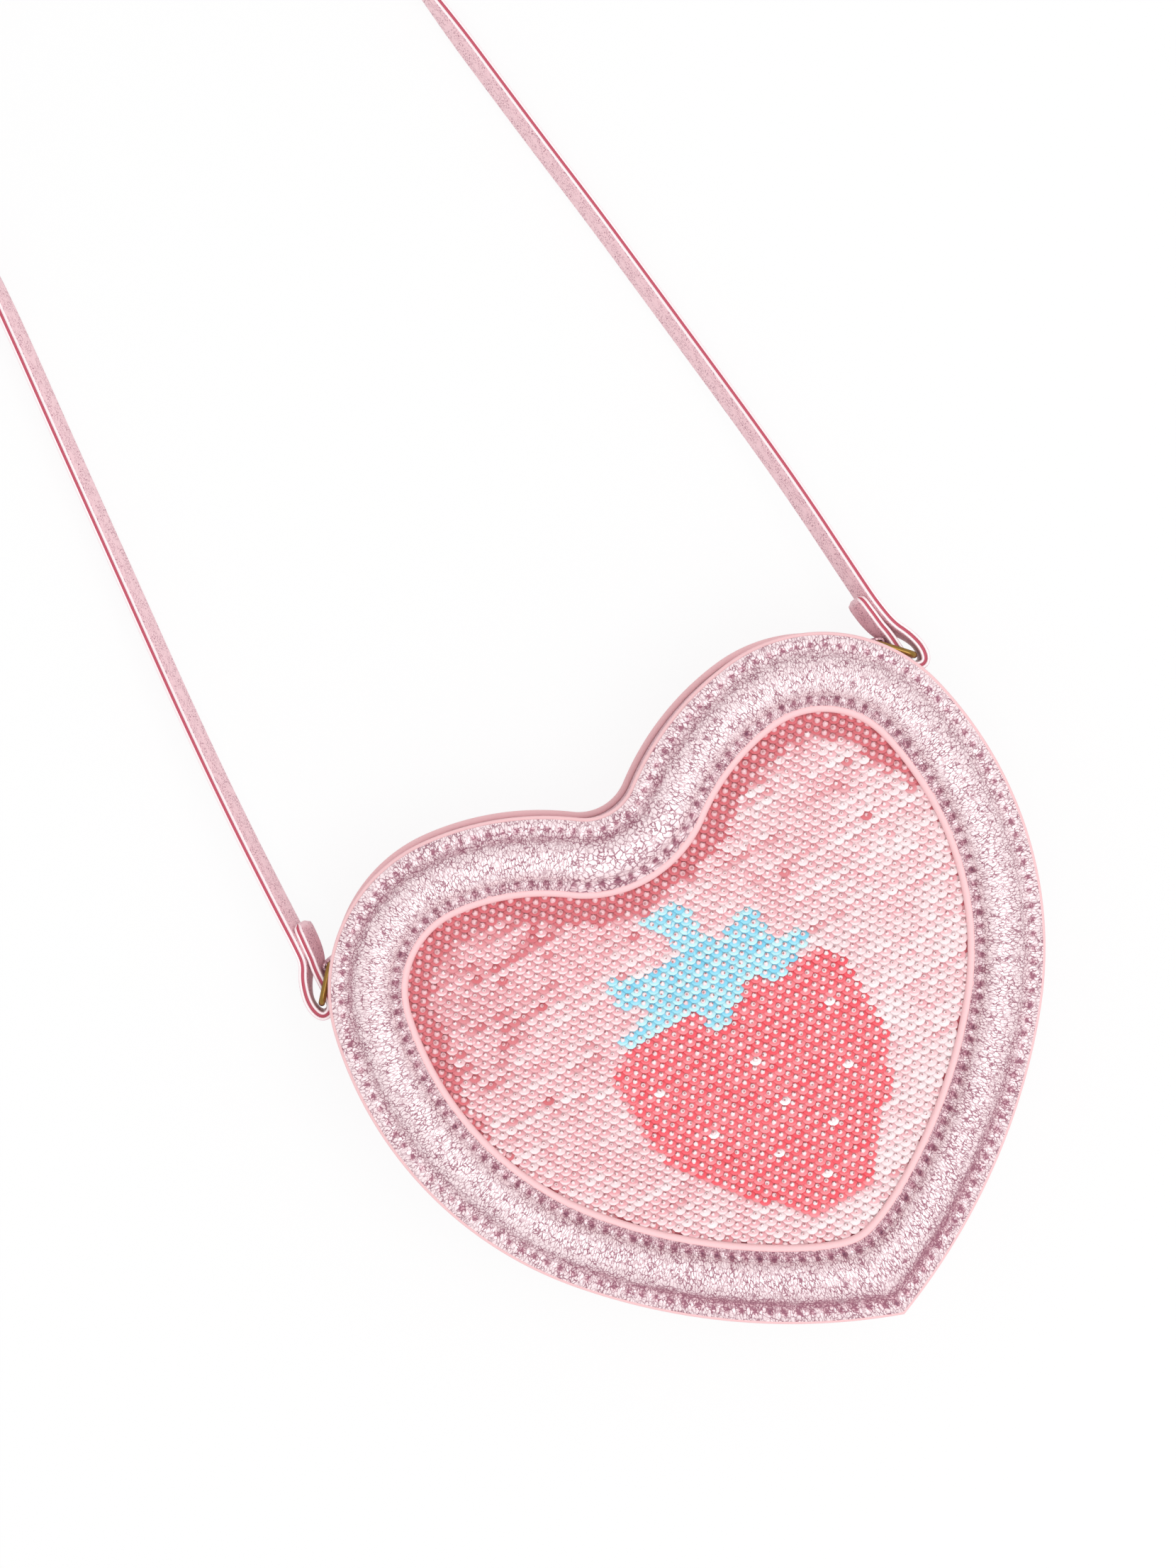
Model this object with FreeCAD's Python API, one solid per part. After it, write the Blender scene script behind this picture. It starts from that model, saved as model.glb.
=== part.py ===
"""Heart shaped purse, lying on its back: X to its right, Y to its lobes, Z out of its front.

The outline is a chain of tangent arcs. Every seam, panel and strip follows that chain at its own
distance inside the outer edge, called an inset.
"""
import FreeCAD
import Part
import math
import os

from FreeCAD import Vector

# Outline of the heart, mm and degrees
LOBE_RADIUS = 38.2
LOBE_OFFSET = 45.7
LOBE_END_ANGLE = 13.7
SIDE_RADIUS = 91.8
SIDE_END_ANGLE = -39.6
LOWER_RADIUS = 154.1
CLEFT_RADIUS = 11.9
SHOULDER_RADIUS = 69.8
SHOULDER_ANGLE = 96.4

# Sheet thicknesses
PANEL_THICKNESS = 1.2
BOARD_THICKNESS = 0.8
GUSSET_THICKNESS = 1.4
TAPE_THICKNESS = 0.6
LINING_THICKNESS = 0.4
SEQUIN_THICKNESS = 1.6
BORDER_SKIN = 1.0
SEAM_GAP = 0.05

# Body of the purse
GUSSET_WIDTH = 34.0
GUSSET_INSET = 1.6
WELT_DIAMETER = 2.0
PIPING_DIAMETER = 2.2
BORDER_WIDTH = 14.7
EDGE_STITCH_INSET = 4.9
WINDOW_STITCH_MARGIN = 1.7
EDGE_ROLL_HEIGHT = 2.3
EDGE_STITCH_HEIGHT = 1.7
WINDOW_STITCH_HEIGHT = 2.2
WINDOW_EDGE_HEIGHT = 2.5
CROWN_HEIGHT = 6.4

# Zip in the right side, below the ring, angles counted round the side's centre
ZIP_TOP_ANGLE = -1.0
ZIP_SWEEP = 36.0
ZIP_SLOT_HEIGHT = 7.0
TAPE_WIDTH = 8.0
TAPE_TURN_IN = 2.0
TOOTH_PITCH = 2.4
TOOTH_WIDTH = 1.0
TOOTH_HEAD_WIDTH = 1.3
TOOTH_REACH = 0.75
TOOTH_ROOT = 1.9
TOOTH_THICKNESS = 2.0
STOP_LENGTH = 1.6

# Zip slider and its pull
SLIDER_LENGTH = 10.0
SLIDER_WIDTH = 5.6
SLIDER_PLATE = 1.0
SLIDER_CLEARANCE = 0.35
SLIDER_POST = 1.6
SLIDER_FLANGE = 0.5
SLIDER_START_GAP = 0.6
BRIDGE_LENGTH = 6.0
BRIDGE_WIDTH = 1.5
BRIDGE_WINDOW = 1.3
BRIDGE_THICKNESS = 0.7
PULL_PIN_DIAMETER = 0.9
PULL_WIDTH = 5.0
PULL_LENGTH = 11.0
PULL_THICKNESS = 0.9
PULL_EYE_LENGTH = 4.2
PULL_SIDE_GAP = 0.4
PULL_TIP_HOLE = 2.0

# Rings, tabs and strap
RING_WIRE = 1.6
RING_HEIGHT = 9.4
RING_CORNER = 2.0
RING_SIDE_GAP = 0.6
RING_ANGLE = 24.0
TAB_WIDTH = 8.0
TAB_LEATHER = 0.7
TAB_TAIL_ANGLE = 11.0
TAB_CLEARANCE = 0.2
STRAP_WIDTH = 9.0
STRAP_THICKNESS = 2.2
LOOP_PLAY = 0.3
LOOP_STANDOFF = 0.4
LOOP_OUTER_LEAN = 14.0
LOOP_INNER_LEAN = 7.5
LOOP_OUTER_LENGTH = 12.0
LOOP_BEND_RADIUS = 30.0
LOOP_INNER_LENGTH = 17.0

# Strap on the surface: the seen runs, then the roll of the spare length
STRAP_FLOOR_GAP = 0.9
DESCENT_LENGTH = 90.0
STRAP_LEAN = 5.6
ROLL_CENTRE_X = -104.0
ROLL_CENTRE_Y = 283.0
ROLL_EYE_RADIUS = 9.0
ROLL_PITCH = 3.6
RIGHT_TURN_RADIUS = 40.0
LEFT_TURN_RADIUS = 24.0
TIE_THICKNESS = 0.6
TIE_WIDTH = 2.5
TIE_CLEARANCE = 0.3

UP = Vector(0, 0, 1)
MIRROR_PLANE = (Vector(0, 0, 0), Vector(1, 0, 0))
HALF_SPACE = 1000.0


def direction(angle):
    """Unit vector in the plane at an angle in degrees from X."""
    return Vector(math.cos(math.radians(angle)), math.sin(math.radians(angle)), 0)


def mirrored(shape):
    return shape.mirror(*MIRROR_PLANE)


# Centres of the arcs, first with the lobe centres on y = 0
lobe = Vector(LOBE_OFFSET, 0, 0)
side = lobe - direction(LOBE_END_ANGLE) * (SIDE_RADIUS - LOBE_RADIUS)
lower = side - direction(SIDE_END_ANGLE) * (LOWER_RADIUS - SIDE_RADIUS)
shoulder = lobe - direction(SHOULDER_ANGLE) * (SHOULDER_RADIUS - LOBE_RADIUS)
cleft_height = shoulder.y + math.sqrt((CLEFT_RADIUS + SHOULDER_RADIUS) ** 2 - shoulder.x ** 2)
tip_height = lower.y - math.sqrt(LOWER_RADIUS ** 2 - lower.x ** 2)

# The origin is the middle of the heart's height
centre_shift = Vector(0, -(LOBE_RADIUS + tip_height) / 2, 0)
LOBE = lobe + centre_shift
SIDE = side + centre_shift
LOWER = lower + centre_shift
SHOULDER = shoulder + centre_shift
CLEFT = Vector(0, cleft_height, 0) + centre_shift
SHOULDER_START_ANGLE = math.degrees(math.atan2(CLEFT.y - SHOULDER.y, -SHOULDER.x))
CLEFT_END_ANGLE = SHOULDER_START_ANGLE - 180

# Levels up through the purse
BACK_BOARD_BASE = PANEL_THICKNESS
GUSSET_BASE = BACK_BOARD_BASE + BOARD_THICKNESS
GUSSET_TOP = GUSSET_BASE + GUSSET_WIDTH
FRONT_TOP = GUSSET_TOP + BOARD_THICKNESS
MIDDLE = (GUSSET_BASE + GUSSET_TOP) / 2

# Insets of the layers
PANEL_INSET = WELT_DIAMETER + SEAM_GAP
TAPE_INSET = GUSSET_INSET + GUSSET_THICKNESS
LINING_INSET = TAPE_INSET + TAPE_THICKNESS + SEAM_GAP
FLAT_LINING_INSET = LINING_INSET + LINING_THICKNESS + SEAM_GAP
WINDOW_INSET = PANEL_INSET + BORDER_WIDTH
PIPING_INSET = WINDOW_INSET + SEAM_GAP + PIPING_DIAMETER / 2


def tip_angle(inset):
    """Angle on the lower arc where it reaches the heart's own axis."""
    return -math.degrees(math.acos(-LOWER.x / (LOWER_RADIUS - inset)))


def half_chain(inset):
    """Centre, radius and angles of each arc of the right half, from cleft to tip."""
    return [
        (CLEFT, CLEFT_RADIUS + inset, -90.0, CLEFT_END_ANGLE),
        (SHOULDER, SHOULDER_RADIUS - inset, SHOULDER_START_ANGLE, SHOULDER_ANGLE),
        (LOBE, LOBE_RADIUS - inset, SHOULDER_ANGLE, LOBE_END_ANGLE),
        (SIDE, SIDE_RADIUS - inset, LOBE_END_ANGLE, SIDE_END_ANGLE),
        (LOWER, LOWER_RADIUS - inset, SIDE_END_ANGLE, tip_angle(inset)),
    ]


def arc_edge(centre, radius, start, end):
    points = [centre + direction(a) * radius for a in (start, (start + end) / 2, end)]
    return Part.Arc(*points).toShape()


def heart_plate(inset, base, thickness):
    """Flat heart, with its edge that far inside the outline."""
    right = [arc_edge(*arc) for arc in half_chain(inset)]
    left = [mirrored(edge) for edge in right]
    wire = Part.Wire(Part.__sortEdges__(right + left))
    plate = Part.Face(wire).extrude(UP * thickness)
    plate.translate(UP * base)
    return plate


def profile_wire(profile, place):
    """Closed wire of 2-point lines and 3-point arcs, each point set by place."""
    edges = []
    for points in profile:
        spots = [place(*point) for point in points]
        curve = Part.LineSegment(*spots) if len(spots) == 2 else Part.Arc(*spots)
        edges.append(curve.toShape())
    return Part.Wire(edges)


def profile_face(profile, place):
    return Part.Face(profile_wire(profile, place))


def turned(profile, centre, radius, outward, start, end):
    """Profile of (inset, height) turned round a vertical axis from one angle to the other."""
    ray = direction(start)

    def place(inset, height):
        return centre + ray * (radius - outward * inset) + UP * height

    face = profile_face(profile, place)
    return face.revolve(centre, UP, end - start)


def heart_ring(profile):
    """Profile carried round the whole outline, mitred at the tip."""
    pieces = []
    for centre, radius, start, end in half_chain(0.0):
        outward = -1 if centre is CLEFT else 1
        if centre is LOWER:
            beyond_tip = end - 8.0
            piece = turned(profile, centre, radius, outward, start, beyond_tip)
            right_side = Part.makeBox(HALF_SPACE, 2 * HALF_SPACE, 2 * HALF_SPACE,
                                      Vector(0, -HALF_SPACE, -HALF_SPACE))
            piece = piece.common(right_side)
        else:
            piece = turned(profile, centre, radius, outward, start, end)
        pieces.append(piece)
    pieces += [mirrored(piece) for piece in pieces]
    return single(pieces[0].fuse(pieces[1:]))


def single(shape):
    """The one solid of a fused shape, with needless seams taken out."""
    shape = shape.removeSplitter()
    if len(shape.Solids) != 1:
        raise ValueError("expected one solid, got %d" % len(shape.Solids))
    return shape.Solids[0]


def rectangle(inset, base, depth, height):
    corners = [(inset, base), (inset + depth, base), (inset + depth, base + height), (inset, base + height)]
    return [(corners[i], corners[(i + 1) % 4]) for i in range(4)]


def circle(inset, height, diameter):
    r = diameter / 2
    return [((inset + r, height), (inset, height + r), (inset - r, height)),
            ((inset - r, height), (inset, height - r), (inset + r, height))]


def zip_block(inset, thickness, base, height, start, end):
    """Curved block in the right side, its ends counted down from the zip's top in degrees."""
    return turned(rectangle(inset, base, thickness, height), SIDE, SIDE_RADIUS, 1,
                  ZIP_TOP_ANGLE - start, ZIP_TOP_ANGLE - end)


def arc_degrees(length, radius):
    return math.degrees(length / radius)


parts = {}

# Back: bound edge, leather panel, stiff board and lining
parts["back_welt"] = heart_ring(circle(WELT_DIAMETER / 2, WELT_DIAMETER / 2, WELT_DIAMETER))
parts["back_panel"] = heart_plate(PANEL_INSET, 0.0, PANEL_THICKNESS)
parts["back_board"] = heart_plate(PANEL_INSET, BACK_BOARD_BASE, BOARD_THICKNESS)
parts["back_lining"] = heart_plate(FLAT_LINING_INSET, GUSSET_BASE, LINING_THICKNESS)

# Front: board, lining, bound edge, padded border, window piping and sequin cloth
parts["front_board"] = heart_plate(PANEL_INSET, GUSSET_TOP, BOARD_THICKNESS)
parts["front_lining"] = heart_plate(FLAT_LINING_INSET, GUSSET_TOP - LINING_THICKNESS, LINING_THICKNESS)
parts["front_welt"] = heart_ring(circle(WELT_DIAMETER / 2, GUSSET_TOP + WELT_DIAMETER / 2, WELT_DIAMETER))
parts["sequin_panel"] = heart_plate(WINDOW_INSET + SEAM_GAP, FRONT_TOP, SEQUIN_THICKNESS)
parts["window_piping"] = heart_ring(
    circle(PIPING_INSET, FRONT_TOP + SEQUIN_THICKNESS + SEAM_GAP + PIPING_DIAMETER / 2, PIPING_DIAMETER))

# The border's skin rises from the welt, is drawn in at both stitch rows and crowns between them
edge_stitch = (EDGE_STITCH_INSET, FRONT_TOP + EDGE_STITCH_HEIGHT)
window_stitch = (WINDOW_INSET - WINDOW_STITCH_MARGIN, FRONT_TOP + WINDOW_STITCH_HEIGHT)
crown = ((edge_stitch[0] + window_stitch[0]) / 2, FRONT_TOP + CROWN_HEIGHT)
edge_roll = ((PANEL_INSET + edge_stitch[0]) / 2, FRONT_TOP + EDGE_ROLL_HEIGHT)
outer_foot = (PANEL_INSET, FRONT_TOP)
outer_lip = (PANEL_INSET, FRONT_TOP + WELT_DIAMETER / 2)
window_lip = (WINDOW_INSET, FRONT_TOP + WINDOW_EDGE_HEIGHT)
window_foot = (WINDOW_INSET, FRONT_TOP)
foam_outer = (edge_stitch[0] + BORDER_SKIN / 2, FRONT_TOP)
foam_inner = (window_stitch[0] - BORDER_SKIN / 2, FRONT_TOP)
foam_crown = (crown[0], crown[1] - BORDER_SKIN)
foam_outer_top = (foam_outer[0], edge_stitch[1] - BORDER_SKIN / 2)
foam_inner_top = (foam_inner[0], window_stitch[1] - BORDER_SKIN / 2)
parts["front_border"] = heart_ring([
    (outer_foot, outer_lip),
    (outer_lip, edge_roll, edge_stitch),
    (edge_stitch, crown, window_stitch),
    (window_stitch, window_lip),
    (window_lip, window_foot),
    (window_foot, foam_inner),
    (foam_inner, foam_inner_top),
    (foam_inner_top, foam_crown, foam_outer_top),
    (foam_outer_top, foam_outer),
    (foam_outer, outer_foot),
])
parts["border_foam"] = heart_ring([
    (foam_inner, foam_inner_top),
    (foam_inner_top, foam_crown, foam_outer_top),
    (foam_outer_top, foam_outer),
    (foam_outer, foam_inner),
])

# Gusset with the zip's letterbox slot in the right side, and its lining with a wider slot
gusset = heart_ring(rectangle(GUSSET_INSET, GUSSET_BASE, GUSSET_THICKNESS, GUSSET_WIDTH))
slot = zip_block(GUSSET_INSET - GUSSET_THICKNESS, 3 * GUSSET_THICKNESS,
                 MIDDLE - ZIP_SLOT_HEIGHT / 2, ZIP_SLOT_HEIGHT, 0.0, ZIP_SWEEP)
parts["gusset"] = single(gusset.cut(slot))
lining = heart_ring(rectangle(LINING_INSET, GUSSET_BASE, LINING_THICKNESS, GUSSET_WIDTH))
lining_slot_height = ZIP_SLOT_HEIGHT + 2 * TAPE_TURN_IN
lining_slot = zip_block(LINING_INSET - 2 * LINING_THICKNESS, 5 * LINING_THICKNESS,
                        MIDDLE - lining_slot_height / 2, lining_slot_height, 0.0, ZIP_SWEEP)
parts["gusset_lining"] = single(lining.cut(lining_slot))

# Zip: two tapes behind the slot, their teeth, and the stops
TEETH_INSET = TAPE_INSET + TAPE_THICKNESS / 2 - TOOTH_THICKNESS / 2
ZIP_RADIUS = SIDE_RADIUS - TAPE_INSET
tape_margin = arc_degrees(TAPE_TURN_IN, ZIP_RADIUS)
tape_edge = TOOTH_ROOT + SEAM_GAP
for name, sign in (("front", 1), ("back", -1)):
    tape_base = MIDDLE + tape_edge if sign > 0 else MIDDLE - tape_edge - TAPE_WIDTH
    parts["zip_tape_" + name] = zip_block(TAPE_INSET, TAPE_THICKNESS, tape_base, TAPE_WIDTH,
                                          -tape_margin, ZIP_SWEEP + tape_margin)

stop_angle = arc_degrees(STOP_LENGTH, ZIP_RADIUS)
slider_half = arc_degrees(SLIDER_LENGTH / 2, ZIP_RADIUS)
start_gap = arc_degrees(SLIDER_START_GAP, ZIP_RADIUS)
end_room = start_gap + stop_angle + start_gap
slider_rest = end_room + slider_half
slider_open = ZIP_SWEEP - end_room - slider_half
post_angle = arc_degrees(SLIDER_POST, ZIP_RADIUS)
teeth_start = slider_rest - slider_half + 2 * post_angle
teeth_end = ZIP_SWEEP - end_room
tooth_step = arc_degrees(TOOTH_PITCH, ZIP_RADIUS)
tooth_count = int((teeth_end - teeth_start) / tooth_step)


def tooth(angle, sign):
    """One tooth: a stem held by the tape's edge and a wider head past the middle line."""
    stem_half = arc_degrees(TOOTH_WIDTH / 2, ZIP_RADIUS)
    head_half = arc_degrees(TOOTH_HEAD_WIDTH / 2, ZIP_RADIUS)
    stem_base = MIDDLE if sign > 0 else MIDDLE - TOOTH_ROOT
    head_base = MIDDLE - TOOTH_REACH if sign > 0 else MIDDLE
    stem = zip_block(TEETH_INSET, TOOTH_THICKNESS, stem_base, TOOTH_ROOT,
                     angle - stem_half, angle + stem_half)
    head = zip_block(TEETH_INSET, TOOTH_THICKNESS, head_base, TOOTH_REACH,
                     angle - head_half, angle + head_half)
    return single(stem.fuse(head))


for name, sign, phase in (("front", 1, 0.25), ("back", -1, 0.75)):
    row = [tooth(teeth_start + (i + phase) * tooth_step, sign) for i in range(tooth_count)]
    parts["zip_teeth_" + name] = Part.makeCompound(row)

top_stop_height = TOOTH_ROOT - TOOTH_REACH
stops = [zip_block(TEETH_INSET, TOOTH_THICKNESS, base, top_stop_height, start_gap, start_gap + stop_angle)
         for base in (MIDDLE + TOOTH_REACH, MIDDLE - TOOTH_ROOT)]
stops.append(zip_block(TEETH_INSET, TOOTH_THICKNESS, MIDDLE - TOOTH_ROOT, 2 * TOOTH_ROOT,
                       ZIP_SWEEP - start_gap - stop_angle, ZIP_SWEEP - start_gap))
parts["zip_stops"] = Part.makeCompound(stops)

# Slider: plates above and below the teeth, joined by a post, with side flanges and a bridge
TOP_PLATE_INSET = TEETH_INSET - SLIDER_CLEARANCE - SLIDER_PLATE
BOTTOM_PLATE_INSET = TEETH_INSET + TOOTH_THICKNESS + SLIDER_CLEARANCE
slider_ends = (slider_rest - slider_half, slider_rest + slider_half)
plate_base = MIDDLE - SLIDER_WIDTH / 2
top_plate = zip_block(TOP_PLATE_INSET, SLIDER_PLATE, plate_base, SLIDER_WIDTH, *slider_ends)
bottom_plate = zip_block(BOTTOM_PLATE_INSET, SLIDER_PLATE, plate_base, SLIDER_WIDTH, *slider_ends)
post = zip_block(TOP_PLATE_INSET, BOTTOM_PLATE_INSET + SLIDER_PLATE - TOP_PLATE_INSET,
                 MIDDLE - SLIDER_POST / 2, SLIDER_POST, slider_ends[0], slider_ends[0] + post_angle)
flange_depth = TAPE_INSET - SLIDER_CLEARANCE - TOP_PLATE_INSET
flanges = [zip_block(TOP_PLATE_INSET, flange_depth, base, SLIDER_FLANGE, *slider_ends)
           for base in (plate_base, plate_base + SLIDER_WIDTH - SLIDER_FLANGE)]
bridge_half = arc_degrees(BRIDGE_LENGTH / 2, ZIP_RADIUS)
window_half = arc_degrees(BRIDGE_LENGTH / 2 - BRIDGE_THICKNESS, ZIP_RADIUS)
bridge_rise = BRIDGE_WINDOW + BRIDGE_THICKNESS
bridge = zip_block(TOP_PLATE_INSET - bridge_rise, bridge_rise + SLIDER_PLATE / 2,
                   MIDDLE - BRIDGE_WIDTH / 2, BRIDGE_WIDTH,
                   slider_rest - bridge_half, slider_rest + bridge_half)
bridge = bridge.cut(zip_block(TOP_PLATE_INSET - BRIDGE_WINDOW, BRIDGE_WINDOW, MIDDLE - BRIDGE_WIDTH,
                              2 * BRIDGE_WIDTH, slider_rest - window_half, slider_rest + window_half))
parts["zip_slider"] = single(top_plate.fuse([bottom_plate, post, bridge] + flanges))

# Pull: a pin under the bridge, two arms past its sides and a rounded tongue, hanging along the zip
pull_along = direction(ZIP_TOP_ANGLE - slider_rest - 90)
pull_out = direction(ZIP_TOP_ANGLE - slider_rest)
pull_pivot = SIDE + pull_out * (SIDE_RADIUS - TOP_PLATE_INSET + BRIDGE_WINDOW / 2)
eye_half = BRIDGE_WIDTH / 2 + PULL_SIDE_GAP


def pull_point(along, across, out=0.0):
    return pull_pivot + pull_along * along + pull_out * out + UP * (MIDDLE + across)


def pull_slab(outline):
    face = profile_face(outline, lambda along, across: pull_point(along, across, -PULL_THICKNESS / 2))
    return face.extrude(pull_out * PULL_THICKNESS)


half = PULL_WIDTH / 2
tongue_end = PULL_LENGTH - half
tongue = pull_slab([
    ((0.0, -half), (tongue_end, -half)),
    ((tongue_end, -half), (PULL_LENGTH, 0.0), (tongue_end, half)),
    ((tongue_end, half), (0.0, half)),
    ((0.0, half), (0.0, -half)),
])
eye = pull_slab([
    ((-half, -eye_half), (PULL_EYE_LENGTH, -eye_half)),
    ((PULL_EYE_LENGTH, -eye_half), (PULL_EYE_LENGTH, eye_half)),
    ((PULL_EYE_LENGTH, eye_half), (-half, eye_half)),
    ((-half, eye_half), (-half, -eye_half)),
])
tip_hole = Part.makeCylinder(PULL_TIP_HOLE / 2, 4 * PULL_THICKNESS,
                             pull_point(tongue_end, 0.0, -2 * PULL_THICKNESS), pull_out)
pin = Part.makeCylinder(PULL_PIN_DIAMETER / 2, PULL_WIDTH, pull_point(0.0, -half), UP)
parts["zip_pull"] = single(tongue.cut([eye, tip_hole]).fuse(pin))

# Ring: an oblong of round wire, its near bar in the tab and its far bar in the strap's loop
GUSSET_RADIUS = LOBE_RADIUS - GUSSET_INSET
RING_WIDTH = STRAP_WIDTH + 2 * RING_SIDE_GAP + RING_WIRE
BAR_RADIUS = GUSSET_RADIUS + LOOP_STANDOFF + STRAP_THICKNESS + LOOP_PLAY + RING_WIRE / 2
TAB_BAR_RADIUS = GUSSET_RADIUS + SEAM_GAP + TAB_LEATHER + TAB_CLEARANCE + RING_WIRE / 2
strap_bar = LOBE + direction(RING_ANGLE) * BAR_RADIUS


def tab_bar_angle():
    """Angle at which the tab's bar is one ring height from the strap's bar."""
    cosine = (BAR_RADIUS ** 2 + TAB_BAR_RADIUS ** 2 - RING_HEIGHT ** 2) / (2 * BAR_RADIUS * TAB_BAR_RADIUS)
    return RING_ANGLE + math.degrees(math.acos(cosine))


TAB_ANGLE = tab_bar_angle()
tab_bar = LOBE + direction(TAB_ANGLE) * TAB_BAR_RADIUS
ring_along = (strap_bar - tab_bar).normalize()


def ring_point(along, across):
    return tab_bar + ring_along * along + UP * (MIDDLE + across)


def oblong_ring():
    half_width = RING_WIDTH / 2
    straight = half_width - RING_CORNER
    bend = RING_CORNER * (1 - math.sqrt(0.5))
    high = RING_HEIGHT
    runs = [
        ((0, -straight), (0, straight)),
        ((0, straight), (bend, half_width - bend), (RING_CORNER, half_width)),
        ((RING_CORNER, half_width), (high - RING_CORNER, half_width)),
        ((high - RING_CORNER, half_width), (high - bend, half_width - bend), (high, straight)),
        ((high, straight), (high, -straight)),
        ((high, -straight), (high - bend, bend - half_width), (high - RING_CORNER, -half_width)),
        ((high - RING_CORNER, -half_width), (RING_CORNER, -half_width)),
        ((RING_CORNER, -half_width), (bend, bend - half_width), (0, -straight)),
    ]
    section = Part.Wire(Part.makeCircle(RING_WIRE / 2, ring_point(0, -straight), UP))
    return profile_wire(runs, ring_point).makePipeShell([section], True, True)


right_ring = oblong_ring()

# Tab: leather folded round the ring's near bar and sewn flat to the gusset above it
tab_base = MIDDLE - TAB_WIDTH / 2
fold_radius = RING_WIRE / 2 + TAB_CLEARANCE + TAB_LEATHER
tail = turned(rectangle(GUSSET_INSET - SEAM_GAP - 2 * TAB_LEATHER, tab_base, 2 * TAB_LEATHER, TAB_WIDTH),
              LOBE, LOBE_RADIUS, 1, TAB_ANGLE, TAB_ANGLE + TAB_TAIL_ANGLE)
fold = Part.makeCylinder(fold_radius, TAB_WIDTH, tab_bar + UP * tab_base)
bar_hole = Part.makeCylinder(RING_WIRE / 2 + TAB_CLEARANCE, TAB_WIDTH, tab_bar + UP * tab_base)
gusset_clear = turned(rectangle(GUSSET_INSET - SEAM_GAP, tab_base, 4 * TAB_LEATHER, TAB_WIDTH),
                      LOBE, LOBE_RADIUS, 1, RING_ANGLE, TAB_ANGLE + TAB_TAIL_ANGLE)
right_tab = single(tail.fuse(fold).cut([bar_hole, gusset_clear]))

# Strap loop: the strap goes round the far bar and its short end lies back against it
STRAP_BASE = MIDDLE - STRAP_WIDTH / 2
LOOP_RADIUS = RING_WIRE / 2 + LOOP_PLAY + STRAP_THICKNESS / 2


def ribbon_bend(centre, radius, base, start, end):
    """Strap standing on edge and bent round a vertical axis."""
    section = rectangle(-STRAP_THICKNESS / 2, base, STRAP_THICKNESS, STRAP_WIDTH)
    return turned(section, centre, radius, 1, start, end)


def ribbon_run(start, end):
    """Strap standing on edge along a straight line; the points are on its lower edge's middle."""
    run = end - start
    across = Vector(-run.y, run.x, 0).normalize() * (STRAP_THICKNESS / 2)
    edge = UP * STRAP_WIDTH
    corners = [start - across, start + across, start + across + edge, start - across + edge]
    return Part.Face(Part.makePolygon(corners + corners[:1])).extrude(run)


outer_angle = LOOP_OUTER_LEAN
inner_angle = 180 + LOOP_INNER_LEAN
loop_bend = ribbon_bend(strap_bar, LOOP_RADIUS, STRAP_BASE, inner_angle, 360 + outer_angle)
outer_foot_point = strap_bar + direction(outer_angle) * LOOP_RADIUS + UP * STRAP_BASE
inner_foot_point = strap_bar + direction(inner_angle) * LOOP_RADIUS + UP * STRAP_BASE
leg_end = outer_foot_point + direction(90 + LOOP_OUTER_LEAN) * LOOP_OUTER_LENGTH
inner_end = inner_foot_point + direction(90 + LOOP_INNER_LEAN) * LOOP_INNER_LENGTH
straighten_centre = leg_end + direction(LOOP_OUTER_LEAN) * LOOP_BEND_RADIUS
straighten = ribbon_bend(Vector(straighten_centre.x, straighten_centre.y, 0), LOOP_BEND_RADIUS, STRAP_BASE,
                         180 + LOOP_OUTER_LEAN, 180 + STRAP_LEAN)
outer_end = straighten_centre + direction(180 + STRAP_LEAN) * LOOP_BEND_RADIUS
right_loop = single(loop_bend.fuse([ribbon_run(outer_foot_point, leg_end), straighten,
                                    ribbon_run(inner_foot_point, inner_end)]))

for name, shape in (("tab", right_tab), ("ring", right_ring), ("strap_loop", right_loop)):
    parts["right_" + name] = shape
    parts["left_" + name] = mirrored(shape)

# Seen runs: down from the loops to the surface, then straight on, turning left beyond the view
strap_drop = Vector(0, 0, STRAP_FLOOR_GAP - STRAP_BASE)
right_away = direction(90 + STRAP_LEAN)
left_away = direction(90 - STRAP_LEAN)
right_start = outer_end
left_start = Vector(-outer_end.x, outer_end.y, outer_end.z)
right_down = right_start + right_away * DESCENT_LENGTH + strap_drop
left_down = left_start + left_away * DESCENT_LENGTH + strap_drop
roll_centre = Vector(ROLL_CENTRE_X, ROLL_CENTRE_Y, STRAP_FLOOR_GAP)


def turn_to_roll(start, away, radius, entry):
    """Straight run, one bend to the left and a straight run into the roll."""
    turn = 180 - math.degrees(math.atan2(away.y, away.x))
    rise = entry.y - start.y
    corner_rise = rise - radius * (1 - math.cos(math.radians(turn)))
    bend_start = start + away * (corner_rise / away.y)
    centre = bend_start + Vector(-away.y, away.x, 0) * radius
    first = math.degrees(math.atan2(bend_start.y - centre.y, bend_start.x - centre.x))
    bend = ribbon_bend(Vector(centre.x, centre.y, 0), radius, STRAP_FLOOR_GAP, first, first + turn)
    bend_end = centre + direction(first + turn) * radius
    return [ribbon_run(start, bend_start), bend, ribbon_run(bend_end, entry)]


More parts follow.
